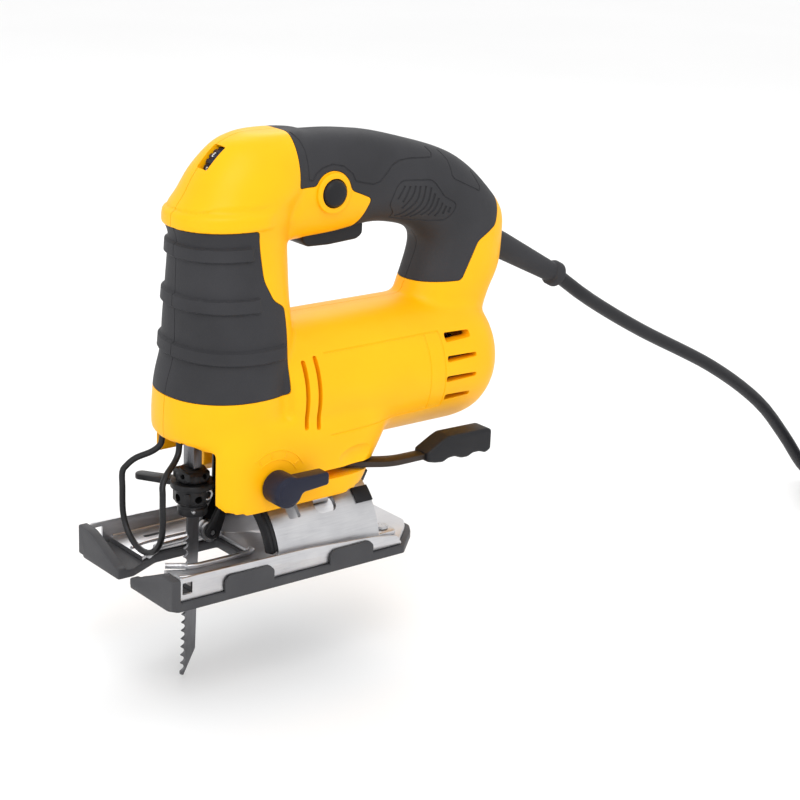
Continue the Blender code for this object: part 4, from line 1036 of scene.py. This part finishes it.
# %% Build the shells and the rubber
def shell_form():
    """Both shells in one: the outside, cut back under the rubber and opened."""
    under = body_form(SKIN)
    x, z = LOCK_AT
    collar = rod(mm(x, -18.6, z), mm(x, -12, z), mm(9), 64, mm(9.5), 0.0006)
    shell = united(copy_of(outer), collar)
    carve(shell, carve(zone(GRIP_OUTLINE), under, keep=True))
    carve(shell, carve(zone(PAD_OUTLINE), under))
    return carve(shell, [hollow()] + housing_holes())


def grip_clearance():
    """What opens the grip: the lock button, the trigger, the cord guard and the screws."""
    clear = [crosswise(*LOCK_AT, -30, 0, 9.8, 64), trigger_window(), relief_hole()]
    return clear + [crosswise(x, z, 5, 40, 4.2, 32) for x, z, _ in SCREWS.values()]


def build_housing():
    shell = shell_form()
    skin = carve(copy_of(outer), body_form(SKIN - RUBBER_GAP))
    for side, word in ((-1, "left"), (1, "right")):
        half = half_space(side)
        shape = carve(copy_of(shell), half, "INTERSECT", keep=True)
        carve(shape, vents(side) + plastic_lines(side) + [scoop(side)])
        finished(shape, "shell_" + word, "housing", YELLOW, ["housing_" + word])
        grip = carve(copy_of(skin), [copy_of(half), zone(GRIP_OUTLINE, RUBBER_GAP)], "INTERSECT")
        carve(grip, grip_clearance() + grip_lines(side))
        finished(grip, "rubber_grip_" + word, "housing", RUBBER, ["grip_" + word])
        pad = carve(copy_of(skin), [half, zone(PAD_OUTLINE, RUBBER_GAP)], "INTERSECT")
        finished(pad, "rubber_nose_" + word, "housing", RUBBER, ["nose_pad_" + word])
    for item in (shell, skin, outer):
        bpy.data.objects.remove(item)


build_housing()

# %% [markdown]
# ## Controls
#
# The trigger is a curved paddle under the handle, and the lock button beside it is a small
# domed cap. The speed dial is a knurled wheel with printed numbers, the stroke selector is a
# knob with a pointer, and the tilt lever is a bent steel strip in a plastic paddle.

# %% Trigger, button and dial
def trigger():
    outline = [
        (15.8, 151), (15.8, 145.5), (18.5, 142.9), (30, 142.5), (46, 143.4), (49.2, 145.5),
        (49.2, 152.5), (24, 152.5), (20, 154), (17, 154),
    ]
    return slab(outline, 1.5, "XZ", -7.2, 7.2, 1.1)


def lock_button():
    cap = [
        (0, 0), (0.0001, 0.0028), (0.0007, 0.0050), (0.0016, 0.0059), (0.0026, 0.0062),
        (0.0125, 0.0062), (0.0125, 0),
    ]
    return spun(cap, mm(LOCK_AT[0], -20.8, LOCK_AT[1]), (0, 1, 0))


def on_circle(centre, radius, angle):
    """A point of a circle in the XZ plane, as (X, Z) in millimetres."""
    return centre[0] + radius * math.cos(angle), centre[1] + radius * math.sin(angle)


def speed_dial():
    """A wheel whose rim has finger notches."""
    steps, notch = 144, 0.55
    outline = []
    for k in range(steps):
        radius = DIAL_RADIUS - (notch if k % 6 in (2, 3) else 0.0)
        outline.append(mm(*on_circle(DIAL_AT, radius, math.tau * k / steps)))
    return plate(outline, "XZ", mm(-5.1), mm(0.1), 0.00018, 2)


def dial_numbers():
    """Printed numbers round the dial's rim."""
    made = []
    for k in range(6):
        text = bpy.data.curves.new("number", "FONT")
        text.body, text.size, text.extrude = str(k + 1), mm(3.4), mm(0.05)
        text.align_x = text.align_y = "CENTER"
        item = mesh_of(text, "number")
        angle = math.radians(132 - 36 * (k - 2))
        out = Vector((math.cos(angle), 0, math.sin(angle)))
        along = Vector((math.sin(angle), 0, -math.cos(angle)))
        turn = Matrix((Vector((0, 1, 0)), along, out)).transposed()
        place = mm(DIAL_AT[0], -2.5, DIAL_AT[1]) + out * mm(DIAL_RADIUS + 0.03)
        item.data.transform(Matrix.Translation(place) @ turn.to_4x4())
        made.append(item)
    return merged(*made)


finished(trigger(), "trigger_paddle", "trigger", BLACK, ["trigger"])
finished(lock_button(), "lock_on_button", "lock_button", BLACK, ["lock_button"])
finished(speed_dial(), "dial_wheel", "speed_dial", DIAL, ["speed_dial"])
finished(dial_numbers(), "dial_numbers", "speed_dial", WHITE_INK)

# %% Stroke selector
def selector():
    """A round knob with its spindle, and the pointer raised on it."""
    knob = [
        (-0.0105, 0), (-0.0105, 0.0060), (-0.0098, 0.0071), (-0.0086, 0.0075), (0, 0.0075),
        (0, 0.003), (0.013, 0.003), (0.013, 0),
    ]
    hub = spun(knob, mm(SELECTOR_AT[0], -32.4, SELECTOR_AT[1]), (0, 1, 0))
    pointer = [
        (-19.6, 44.5), (-17.6, 49.0), (-13.0, 50.6), (6.4, 50.4), (7.2, 49.2), (7.2, 45.2),
        (6.4, 44.4), (-6.8, 43.4), (-8.2, 40.6), (-11, 38.8), (-14.5, 38.4), (-18, 40.2),
    ]
    return united(hub, slab(pointer, 1.4, "XZ", -43.4, -36, 1.1))


def scale_arc():
    """A raised arc with marks over the selector, moulded with the shell."""
    made = []
    for radius in (12.2, 16.4):
        line = [on_circle(SELECTOR_AT, radius, math.radians(28 + 6 * k)) for k in range(18)]
        made.append(surface_line(line, -1, 0.32, -0.08, 1.5))
    for degrees in (40, 70, 100, 125):
        line = [on_circle(SELECTOR_AT, radius, math.radians(degrees)) for radius in (13.2, 15.4)]
        made.append(surface_line(line, -1, 0.4, -0.08, 1.0))
    return merged(*made)


finished(selector(), "stroke_selector", "orbit_selector", DIAL, ["orbit_selector"])
finished(scale_arc(), "selector_scale", "housing", YELLOW)

# %% Tilt lever
LEVER_Z = 42.2


def lever_strip():
    """A steel strip that swings round the tilt bolt."""
    ring_profile = [(0, 0.0033), (0, 0.0072), (0.003, 0.0072), (0.003, 0.0033)]
    hub = spun(ring_profile, mm(20, 0, LEVER_Z), (0, 0, 1), 48, 0.0003)
    strip = [
        (17, -6), (24.6, -4.5), (33, -17.5), (52, -28.8), (70, -29.4), (70, -36.2), (48, -36.2),
        (25.5, -23),
    ]
    united(hub, slab(strip, 6, "XY", LEVER_Z + 0.1, LEVER_Z + 2.9, 0.5, 2, 8))
    return carve(hub, upright(20, 0, 30, 52, 3.3))


def lever_paddle():
    """A grip with a sloping front, drawn from the side and rounded all over."""
    outline = [
        (67.5, 41.4), (72, 40.2), (77, 39.6), (80, 41.0), (84, 41.2), (88, 39.6), (92, 39.4),
        (95, 40.8), (99, 40.8), (103, 39.4), (106, 41.0), (106, 50.6), (104, 51.6), (80.0, 52.0),
        (76.5, 50.6), (67.5, 46.0),
    ]
    return slab(outline, 1.2, "XZ", -38.4, -27.4, 1.8, 4)


def paddle_screws():
    head = [(0, 0), (0, 0.0015), (0.0006, 0.0019), (0.0012, 0.0019), (0.0012, 0)]
    return merged(*[spun(head, mm(x, -33, 40.2), (0, 0, 1), 24) for x in (82, 97)])


finished(lever_strip(), "lever_strip", "tilt_lever", BROWN, ["tilt_lever"])
finished(lever_paddle(), "lever_grip", "tilt_lever", BLACK, ["lever_paddle"])
finished(paddle_screws(), "lever_screws", "tilt_lever", STEEL)

# %% [markdown]
# ## Cutting end
#
# The plunger is a ground bar. Below it the quick clamp is a blackened casting with cross
# holes and spring pins, and its lever points forward. The blade's teeth are milled, with
# deep round gullets, and a bent wire guard keeps fingers away.

# %% Plunger, clamp and lever
PLUNGER_X, CLAMP_Z = -36.5, (26.0, 48.0)


def plunger():
    bar = block(mm(PLUNGER_X - 2.25, -4.25, 48.3), mm(PLUNGER_X + 2.25, 4.25, 152), 0.0004, 2)
    return carve(bar, lengthwise(0, 139, -60, -20, 1.5))


def blade_clamp():
    """A faceted casting: a square upper block, a round collar, ears and cross holes."""
    low, high = CLAMP_Z
    profile = [
        (low, 0), (low, 6.2), (low + 0.6, 6.8), (low + 3.6, 6.8), (low + 4.2, 6.2),
        (low + 5.2, 6.2), (low + 6.2, 7.9), (38.7, 8.0), (38.7, 6.2), (42.3, 6.2), (42.3, 7.4),
        (45.5, 7.4), (high, 5.6), (high, 0),
    ]
    body = spun([mm(z, r) for z, r in profile], mm(PLUNGER_X, 0, 0), (0, 0, 1), 48, 0.0003)
    upper = block(mm(PLUNGER_X - 6.6, -6.6, 42.7), mm(PLUNGER_X + 5.4, 6.6, 47.6), 0.0012, 3)
    lower = block(mm(PLUNGER_X - 6.9, -6.4, 31.6), mm(PLUNGER_X + 5.0, 6.4, 38.4), 0.0014, 3)
    united(body, upper, lower)
    holes = [
        lengthwise(0, 35, -60, -20, 1.9),
        crosswise(PLUNGER_X - 1.6, 35, -20, 20, 1.7),
        lengthwise(-2.6, 45.4, -60, -20, 1.2),
        crosswise(PLUNGER_X + 2, 45.2, -20, 20, 1.2),
    ]
    blade_slot = block(mm(PLUNGER_X - 4.5, -0.9, 10), mm(PLUNGER_X + 4.5, 0.9, 45.5))
    return carve(body, holes + [blade_slot])


def clamp_pins():
    """Bright pins and an eyelet of the clamp's spring, on the left side."""
    ring_profile = [(0, 0.0016), (0, 0.0026), (0.0012, 0.0026), (0.0012, 0.0016)]
    made = [spun(ring_profile, mm(PLUNGER_X + 3.4, -7.6, 36.4), (0, 1, 0), 36, 0.0003)]
    for offset, z, low, high, radius in (
        (1.4, 33.0, -7.3, -5.8, 0.9),
        (0.6, 39.3, -7.3, -6.0, 1.1),
        (-3.6, 29.2, -7.2, -5.6, 0.8),
    ):
        x = PLUNGER_X + offset
        made.append(rod(mm(x, low, z), mm(x, high, z), mm(radius), 24, edge=0.0002))
    return merged(*made)


def clamp_lever():
    """A ring round the clamp with a short arm."""
    ring_profile = [(-0.0014, 0.0065), (-0.0014, 0.010), (0.0014, 0.010), (0.0014, 0.0065)]
    collar = spun(ring_profile, mm(PLUNGER_X, 0, 40.5), (0, 0, 1), 64, 0.0004)
    reach = Vector((-14.5, 21.5))
    side = Vector((-reach.y, reach.x)).normalized() * 3.5
    root = reach.normalized() * 8.6
    tip = reach * 1.06
    arm = [
        root + side, root - side, reach - side * 0.9, tip - side * 0.4, tip + side * 0.4,
        reach + side * 0.9,
    ]
    arm = [(PLUNGER_X + p.x, p.y) for p in arm]
    return united(collar, slab(arm, 1.4, "XY", 39.2, 41.8, 0.5, 2))


finished(plunger(), "plunger_bar", "plunger", GROUND, ["plunger"])
finished(blade_clamp(), "quick_clamp", "plunger", PHOSPHATE, ["blade_clamp"])
finished(clamp_pins(), "clamp_pins", "plunger", STEEL)
finished(clamp_lever(), "quick_clamp_lever", "clamp_lever", PHOSPHATE, ["clamp_lever"])

# %% Blade
def blade_x(z):
    """Where the middle of the blade is at this height: it leans forward going down."""
    return PLUNGER_X - 0.028 * (CLAMP_Z[0] - z)


def blade():
    """A flat strip whose front edge is milled into hooked teeth."""
    back, front, top, tip, pitch = 3.4, 2.8, 45.0, -52.3, 4.0
    points = [
        (blade_x(top) + back, top), (blade_x(tip + 12) + back, tip + 12),
        (blade_x(tip) - 2.6, tip), (blade_x(tip) - 4.0, tip + 0.6),
    ]
    z = tip + 2.0
    while z < CLAMP_Z[0] - 2.6 * pitch:
        x = blade_x(z) - front
        points += [
            (x - 1.3, z), (x - 1.2, z + 0.25), (x + 0.3, z + 1.0), (x + 0.85, z + 1.7),
            (x + 0.7, z + 2.5), (x - 0.3, z + pitch - 0.5),
        ]
        z += pitch
    points += [(blade_x(z) - front, z), (blade_x(top) - front, top)]
    return plate([mm(*p) for p in points], "XZ", mm(-0.6), mm(0.6), 0.00012, 1)


finished(blade(), "saw_blade", "plunger", BLADE, ["blade"], 25)

# %% Wire guard and roller arm
def wire_guard():
    """One wire: up from the housing on each side, forward, down and round under."""
    half, low = 16.8, 13.7
    top = [
        (-48, 7, 66.8), (-48, 7, 62), (-48.8, 7.4, 58.5), (-52, 9.2, 55.5), (-58, 12.8, 52.5),
        (-61.4, 15.0, 49), (-62.5, half, 45.5), (-62.5, half, 38),
    ]
    bend = []
    for k in range(13):
        a = math.radians(-15 * k)
        bend.append((-62.5, half * math.cos(a), low + half + half * math.sin(a)))
    other = [(x, -y, z) for x, y, z in reversed(top)]
    return wire(curve_through([mm(*p) for p in top + bend + other], 0.0012), mm(1.4), 6)


def guide_arm():
    """The forked arm that carries the backing roller."""
    wheel = blade_x(16) + 3.4 + 0.4 + 4.8
    outline = [
        (wheel - 3.4, 17.4), (wheel - 3.0, 14.6), (wheel - 0.6, 12.6), (wheel + 3.4, 13.3),
        (-17.2, 34), (-16.5, 54), (-23.5, 54), (-24.2, 30),
    ]
    arm = slab(outline, 1.6, "XZ", -4.3, 4.3, 0.6, 2)
    fork = block(mm(-50, -2.8, 5), mm(-21.5, 2.8, 24.5))
    web = block(mm(-50, -2.8, 24), mm(-22.2, 2.8, 60))
    axle = crosswise(wheel, 16, -10, 10, 1.4)
    return carve(arm, [fork, web, axle, crosswise(*ORBIT_PIN_AT, -10, 10, 2.3)])


finished(wire_guard(), "guard_wire", "housing", PHOSPHATE, ["wire_guard"])
finished(guide_arm(), "roller_arm", "orbit_arm", PHOSPHATE, ["orbit_arm"])

# %% [markdown]
# ## Shoe
#
# The shoe is a pressed steel pan with turned-up sides, a stamped arch that lets it tilt, and
# a plastic sole that clips up round it. The fork's inner edges are rolled up into ridges, and
# thick caps close the ends of the fork.

# %% Shoe pan
LENGTH, WIDTH, SOLE_TOP, PAN_TOP = 144.0, 80.0, 4.0, 6.5
RIVET_X, RIVET_Y, RIVET_RADIUS = 50.5, 26.5, 2.2


def shoe_outline(shrink=0.0):
    """Plan of the shoe: forked at the front, with its rear corners cut off."""
    front, back, side = -LENGTH / 2 + shrink, LENGTH / 2 - shrink, WIDTH / 2 - shrink
    throat, wide = 4.7 + shrink, 12.5 + shrink
    half = [(front + 3, side), (back - 18, side), (back - 4, side - 13), (back, side - 19)]
    slot = [(-15 + shrink, wide), (front + 24, wide), (front + 8, throat), (front, throat)]
    upper = slot + [(front, side - 4)] + half
    return upper + [(x, -y) for x, y in reversed(upper)]


def pan_side():
    """One turned-up side with its square hole."""
    lip = [(-67.2, 4.3), (54, 4.3), (51, 9.0), (36, 11.5), (0, 14.0), (-58, 15.0), (-67.2, 15.0)]
    side = slab(lip, 1.6, "XZ", -38.4, -37.2, 0.3, 2)
    return carve(side, block(mm(-66.0, -45, 7.2), mm(-61.0, -30, 12.6), 0.0004, 2))


def pan_ridges():
    """Rolled ridges along the fork's inner edge and a step at its root."""
    inner = [(-55, 6.9, 7.2), (-48, 12.0, 7.4), (-44, 14.6, 7.4), (-16, 14.6, 7.4), (-13, 11, 7.2)]
    outer_bead = [(-56, 20, 6.6), (-46, 22.5, 6.7), (-16, 22.5, 6.7)]
    made = []
    for line, radius in ((inner, 1.35), (outer_bead, 0.9)):
        made.append(wire(curve_through([mm(*p) for p in line], 0.002), mm(radius), 4))
    return merged(*made)


def shoe_pan():
    floor = slab(shoe_outline(2.0), 2.0, "XY", 4.3, PAN_TOP, 0.5, 2)
    front = [block(mm(-80, -37.1, 3), mm(-57, 37.1, 30)), block(mm(-80, -60, 3), mm(-67.2, 60, 30))]
    carve(floor, front)
    fillet = wire([mm(-56, -37.0, 6.6), mm(52, -37.0, 6.6)], mm(0.9), 4)
    sides = mirrored(merged(pan_side(), fillet, pan_ridges()))
    slots = [block(mm(-44, y - 1.3, 0), mm(-35, y + 1.3, 20), 0.0006, 2) for y in (-29, 29)]
    rivets = [upright(RIVET_X, y, 0, 20, RIVET_RADIUS) for y in (-RIVET_Y, RIVET_Y)]
    carve(floor, slots + rivets)
    return merged(floor, sides)


finished(shoe_pan(), "pressed_pan", "shoe", SHEET, ["shoe_pan"])

# %% Sole with its tabs and caps
def shoe_sole():
    sole = slab(shoe_outline(), 1.2, "XY", 0, SOLE_TOP, 0.7, 2)
    extra = []
    for start, end, top in ((-45, -19, 11.3), (11.5, 36, 10.8)):
        shoulder = top - 2.5
        tab = [
            (start, 1.0), (end, 1.0), (end, shoulder), (end - 2.5, top), (start + 2.5, top),
            (start, shoulder),
        ]
        extra.append(slab(tab, 1.0, "XZ", -40, -38.7, 0.4, 2))
    cap = [(-4.7, 1.0), (-4.7, 4.8), (-7.5, 5.2), (-27.5, 14.0), (-31, 15), (-40, 15), (-40, 1.0)]
    extra.append(slab(cap, 1.1, "YZ", -72, -67.5, 0.7, 2))
    for item in extra:
        united(sole, item, flipped(copy_of(item)))
    return sole


finished(shoe_sole(), "clip_on_sole", "shoe", SOLE, ["shoe_sole"])

# %% Tilt arch
ARCH_OUT, ARCH_IN, ARCH_FRONT, ARCH_BACK = 34.0, 31.5, -12.0, 44.0


def arc(radius, start, end, count):
    """Points of an arc about the tilt axis, in degrees from +Y."""
    steps = [math.radians(start + (end - start) * k / (count - 1)) for k in range(count)]
    return [(radius * math.cos(a), TILT_Z + radius * math.sin(a)) for a in steps]


def arch_slice(outer_radius, inner_radius, start, end, front, back, radius=0.0):
    """Part of a pipe about the tilt axis, between two angles."""
    points = arc(outer_radius, start, end, 49) + arc(inner_radius, end, start, 49)
    return plate([mm(*p) for p in points], "YZ", mm(front), mm(back), mm(radius), 2)


def radial_hole(x, size_x, angle, size_along, radius):
    """A tool that goes through the arch at an angle, with rounded corners."""
    tool = block(mm(-size_x / 2, -size_along / 2, 26), mm(size_x / 2, size_along / 2, 40), mm(radius), 3)
    turn = Matrix.Translation(mm(x, 0, TILT_Z)) @ Matrix.Rotation(math.radians(angle - 90), 4, "X")
    tool.data.transform(turn)
    return tool


def tilt_arch():
    """Half a pipe on two feet, with the bolt's slot and two windows on each side."""
    arch = arch_slice(ARCH_OUT, ARCH_IN, 5, 175, ARCH_FRONT, ARCH_BACK, 0.35)
    feet = []
    for side in (-1, 1):
        low, high = sorted((31.7 * side, 35.8 * side))
        feet.append(block(mm(ARCH_FRONT, low, 6.8), mm(ARCH_BACK, high, 9.0), 0.0005, 2))
        tongue = [(40.5, 19.5), (40.5, 32.5), (54.5, 32.5), (56.5, 29), (56.5, 23), (54, 19.5)]
        feet.append(slab([(x, y * side) for x, y in tongue], 1.6, "XY", 6.8, 9.0, 0.5, 2))
    united(arch, *feet)
    tools = [arch_slice(50, 10, 37, 143, 16.7, 23.3), block(mm(-50, -60, -50), mm(90, 60, 6.8))]
    for side in (-1, 1):
        tools.append(radial_hole(0.8, 6.4, 90 + side * 46, 8.0, 1.0))
        tools.append(radial_hole(18.5, 11.5, 90 + side * 47, 8.5, 3.2))
        tools.append(upright(RIVET_X, RIVET_Y * side, 0, 20, RIVET_RADIUS))
    return carve(arch, tools)


def arch_rims():
    """The rounded black wedge at the front of the arch."""
    rim = arch_slice(33.2, 27.0, 14, 166, ARCH_FRONT - 3.4, ARCH_FRONT - 0.4, 1.2)
    bead = arch_slice(34.0, 30.5, 16, 164, ARCH_FRONT - 1.8, ARCH_FRONT - 0.2, 0.6)
    return merged(rim, bead)


def tilt_stop():
    """Blocks at the arch's rear edge that the shoe comes up against."""
    ring_part = arch_slice(33.6, 26.5, 63, 117, ARCH_BACK + 0.3, ARCH_BACK + 6.5, 0.7)
    pads = []
    for start, end in ((37, 50), (130, 143)):
        pads.append(arch_slice(34.6, 30.0, start, end, ARCH_BACK - 9, ARCH_BACK + 0.2, 0.5))
    return merged(ring_part, *pads)


finished(tilt_arch(), "pressed_arch", "shoe", SHEET, ["tilt_arch"])
finished(arch_rims(), "arch_rim", "shoe", BLACK)
finished(tilt_stop(), "arch_stop", "shoe", BLACK, ["tilt_stop"])

# %% [markdown]
# ## Cord guard, tie and plug
#
# The guard is a tapered rubber sleeve that ends in a bead. The tie is a strap with rounded
# corners, and the plug is a plain two-pin moulding.

# %% Cord guard
def cord_guard():
    """A flange inside the housing, a taper and a bead."""
    profile = [
        (-0.0110, 0), (-0.0110, 0.0078), (-0.0085, 0.0078), (-0.0085, 0.0065), (0.004, 0.0065),
        (0.032, 0.0054), (0.0424, 0.0050), (0.0431, 0.0060), (0.0439, 0.0064), (0.0474, 0.0064),
        (0.0482, 0.0057), (0.0482, 0),
    ]
    return spun(profile, relief_point(0), relief_point(1) - relief_point(0), 64, 0.0002)


def cord_tie():
    """A strap round the coil, with rounded corners."""
    half, bottom, top = 10.5, -51.0, -30.9
    bands = []
    for grow in (1.7, 0.7):
        near, far = COIL_RADIUS - half - grow, COIL_RADIUS + half + grow
        low, high = bottom - grow, top + grow
        corners = [(near, low), (far, low), (far, high), (near, high)]
        bands.append(slab(corners, 2.4 + grow, "XZ", -4, 4, 0.3, 2, 8))
    strap = carve(*bands)
    turn = Matrix.Translation((*COIL_CENTRE, 0)) @ Matrix.Rotation(math.radians(200), 4, "Z")
    strap.data.transform(turn)
    return strap


PLUG_SIDE = Vector((PLUG_WAY.y, -PLUG_WAY.x, 0))
PLUG_LENGTH, PLUG_POWER = 36, 3.4
PLUG_ROWS = [
    (0, 5.4, 5.0), (0.14, 5.9, 5.5), (0.30, 7.0, 6.0), (0.46, 12.0, 6.9), (0.9, 13, 7.0),
    (1, 12.2, 6.3),
]


def plug():
    """A moulding along the tail; each row is a share of its length and two half widths."""
    start = mm(*TAIL_ROUTE[-1]) + PLUG_WAY * 0.0006
    sections = []
    for share, wide, tall in refined(PLUG_ROWS, 0.03):
        centre = start + PLUG_WAY * mm(PLUG_LENGTH) * share
        sections.append((centre, PLUG_SIDE * mm(wide), mm(0, 0, tall), PLUG_POWER))
    return limb(sections)


def plug_pins():
    face = mm(*TAIL_ROUTE[-1]) + PLUG_WAY * mm(PLUG_LENGTH)
    pins = []
    for offset in (-9.3, 9.3):
        root = face + PLUG_SIDE * mm(offset)
        pins.append(rod(root, root + PLUG_WAY * mm(19.6), mm(2.3), 32, edge=0.0006))
    return merged(*pins)


finished(cord_guard(), "cord_guard", "housing", RUBBER, ["strain_relief"])
strap = finished(cord_tie(), "coil_strap", "housing", BLACK, ["cord_tie"])
plug_body = finished(plug(), "plug_body", "housing", SATIN_RUBBER, ["plug"])
pins = finished(plug_pins(), "plug_pins", "housing", BRASS)
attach(power_cord, "housing")
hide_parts("cord", "cord_coil", "cord_tail")

# %% [markdown]
# ## The solids that stay
#
# The drive inside the housing is already the right shape. Each solid only needs the finish
# that its record names.

# %% Finish the kept solids
def finish_kept():
    """Gives each solid that still shows the first finish of its slot."""
    by_slot = {}
    for material, slot in SLOTS.items():
        by_slot.setdefault(slot, material)
    count = 0
    for name, item in NODES.items():
        if item.hide_render:
            continue
        current = item.material_slots[0].material.name.split(".")[0].replace(" ", "_")
        chosen = by_slot.get(current, STEEL)
        for place in item.material_slots:
            place.material = chosen
        count += 1
    print(count, "kept solids finished")


finish_kept()

# %% [markdown]
# ## Floor and light
#
# A pale bench under the coil, a white sky, a big soft lamp over the left shoulder and weaker
# ones from the front and from behind give the even light of a catalogue picture.

# %% Floor and lamps
def add_floor():
    bm = bmesh.new()
    bmesh.ops.create_grid(bm, x_segments=1, y_segments=1, size=6)
    bmesh.ops.translate(bm, vec=(0, 0, -0.0531), verts=bm.verts)
    floor = solid(bm, "bench")
    finish = Finish("bench_white")
    cloud = finish.noise(3, 2)
    shade = finish.blend(cloud, (0.86, 0.86, 0.86, 1), (0.90, 0.90, 0.90, 1))
    floor.data.materials.append(finish.set(Base_Color=shade, Roughness=0.7))


def add_lamp(name, place, target, size, power):
    data = bpy.data.lights.new(name, "AREA")
    data.shape, data.size, data.energy = "DISK", size, power
    item = linked(name, data)
    item.matrix_world = facing(Vector(target) - Vector(place), place, "-Z")


def add_world(strength):
    world = bpy.data.worlds.new("studio")
    world.use_nodes = True
    back = world.node_tree.nodes["Background"]
    back.inputs["Color"].default_value = (1, 1, 1, 1)
    back.inputs["Strength"].default_value = strength
    bpy.context.scene.world = world


add_floor()
add_lamp("key", (-0.5, -0.9, 1.3), (0.03, 0, 0.08), 0.9, 8)
add_lamp("fill", (-1.3, -0.5, 0.5), (0, 0, 0.08), 1.0, 2)
add_lamp("rim", (0.7, 0.7, 1.0), (0.03, 0, 0.1), 0.7, 3)
add_world(1.08)
bpy.context.scene.view_settings.view_transform = "Standard"
print("floor and lamps added")
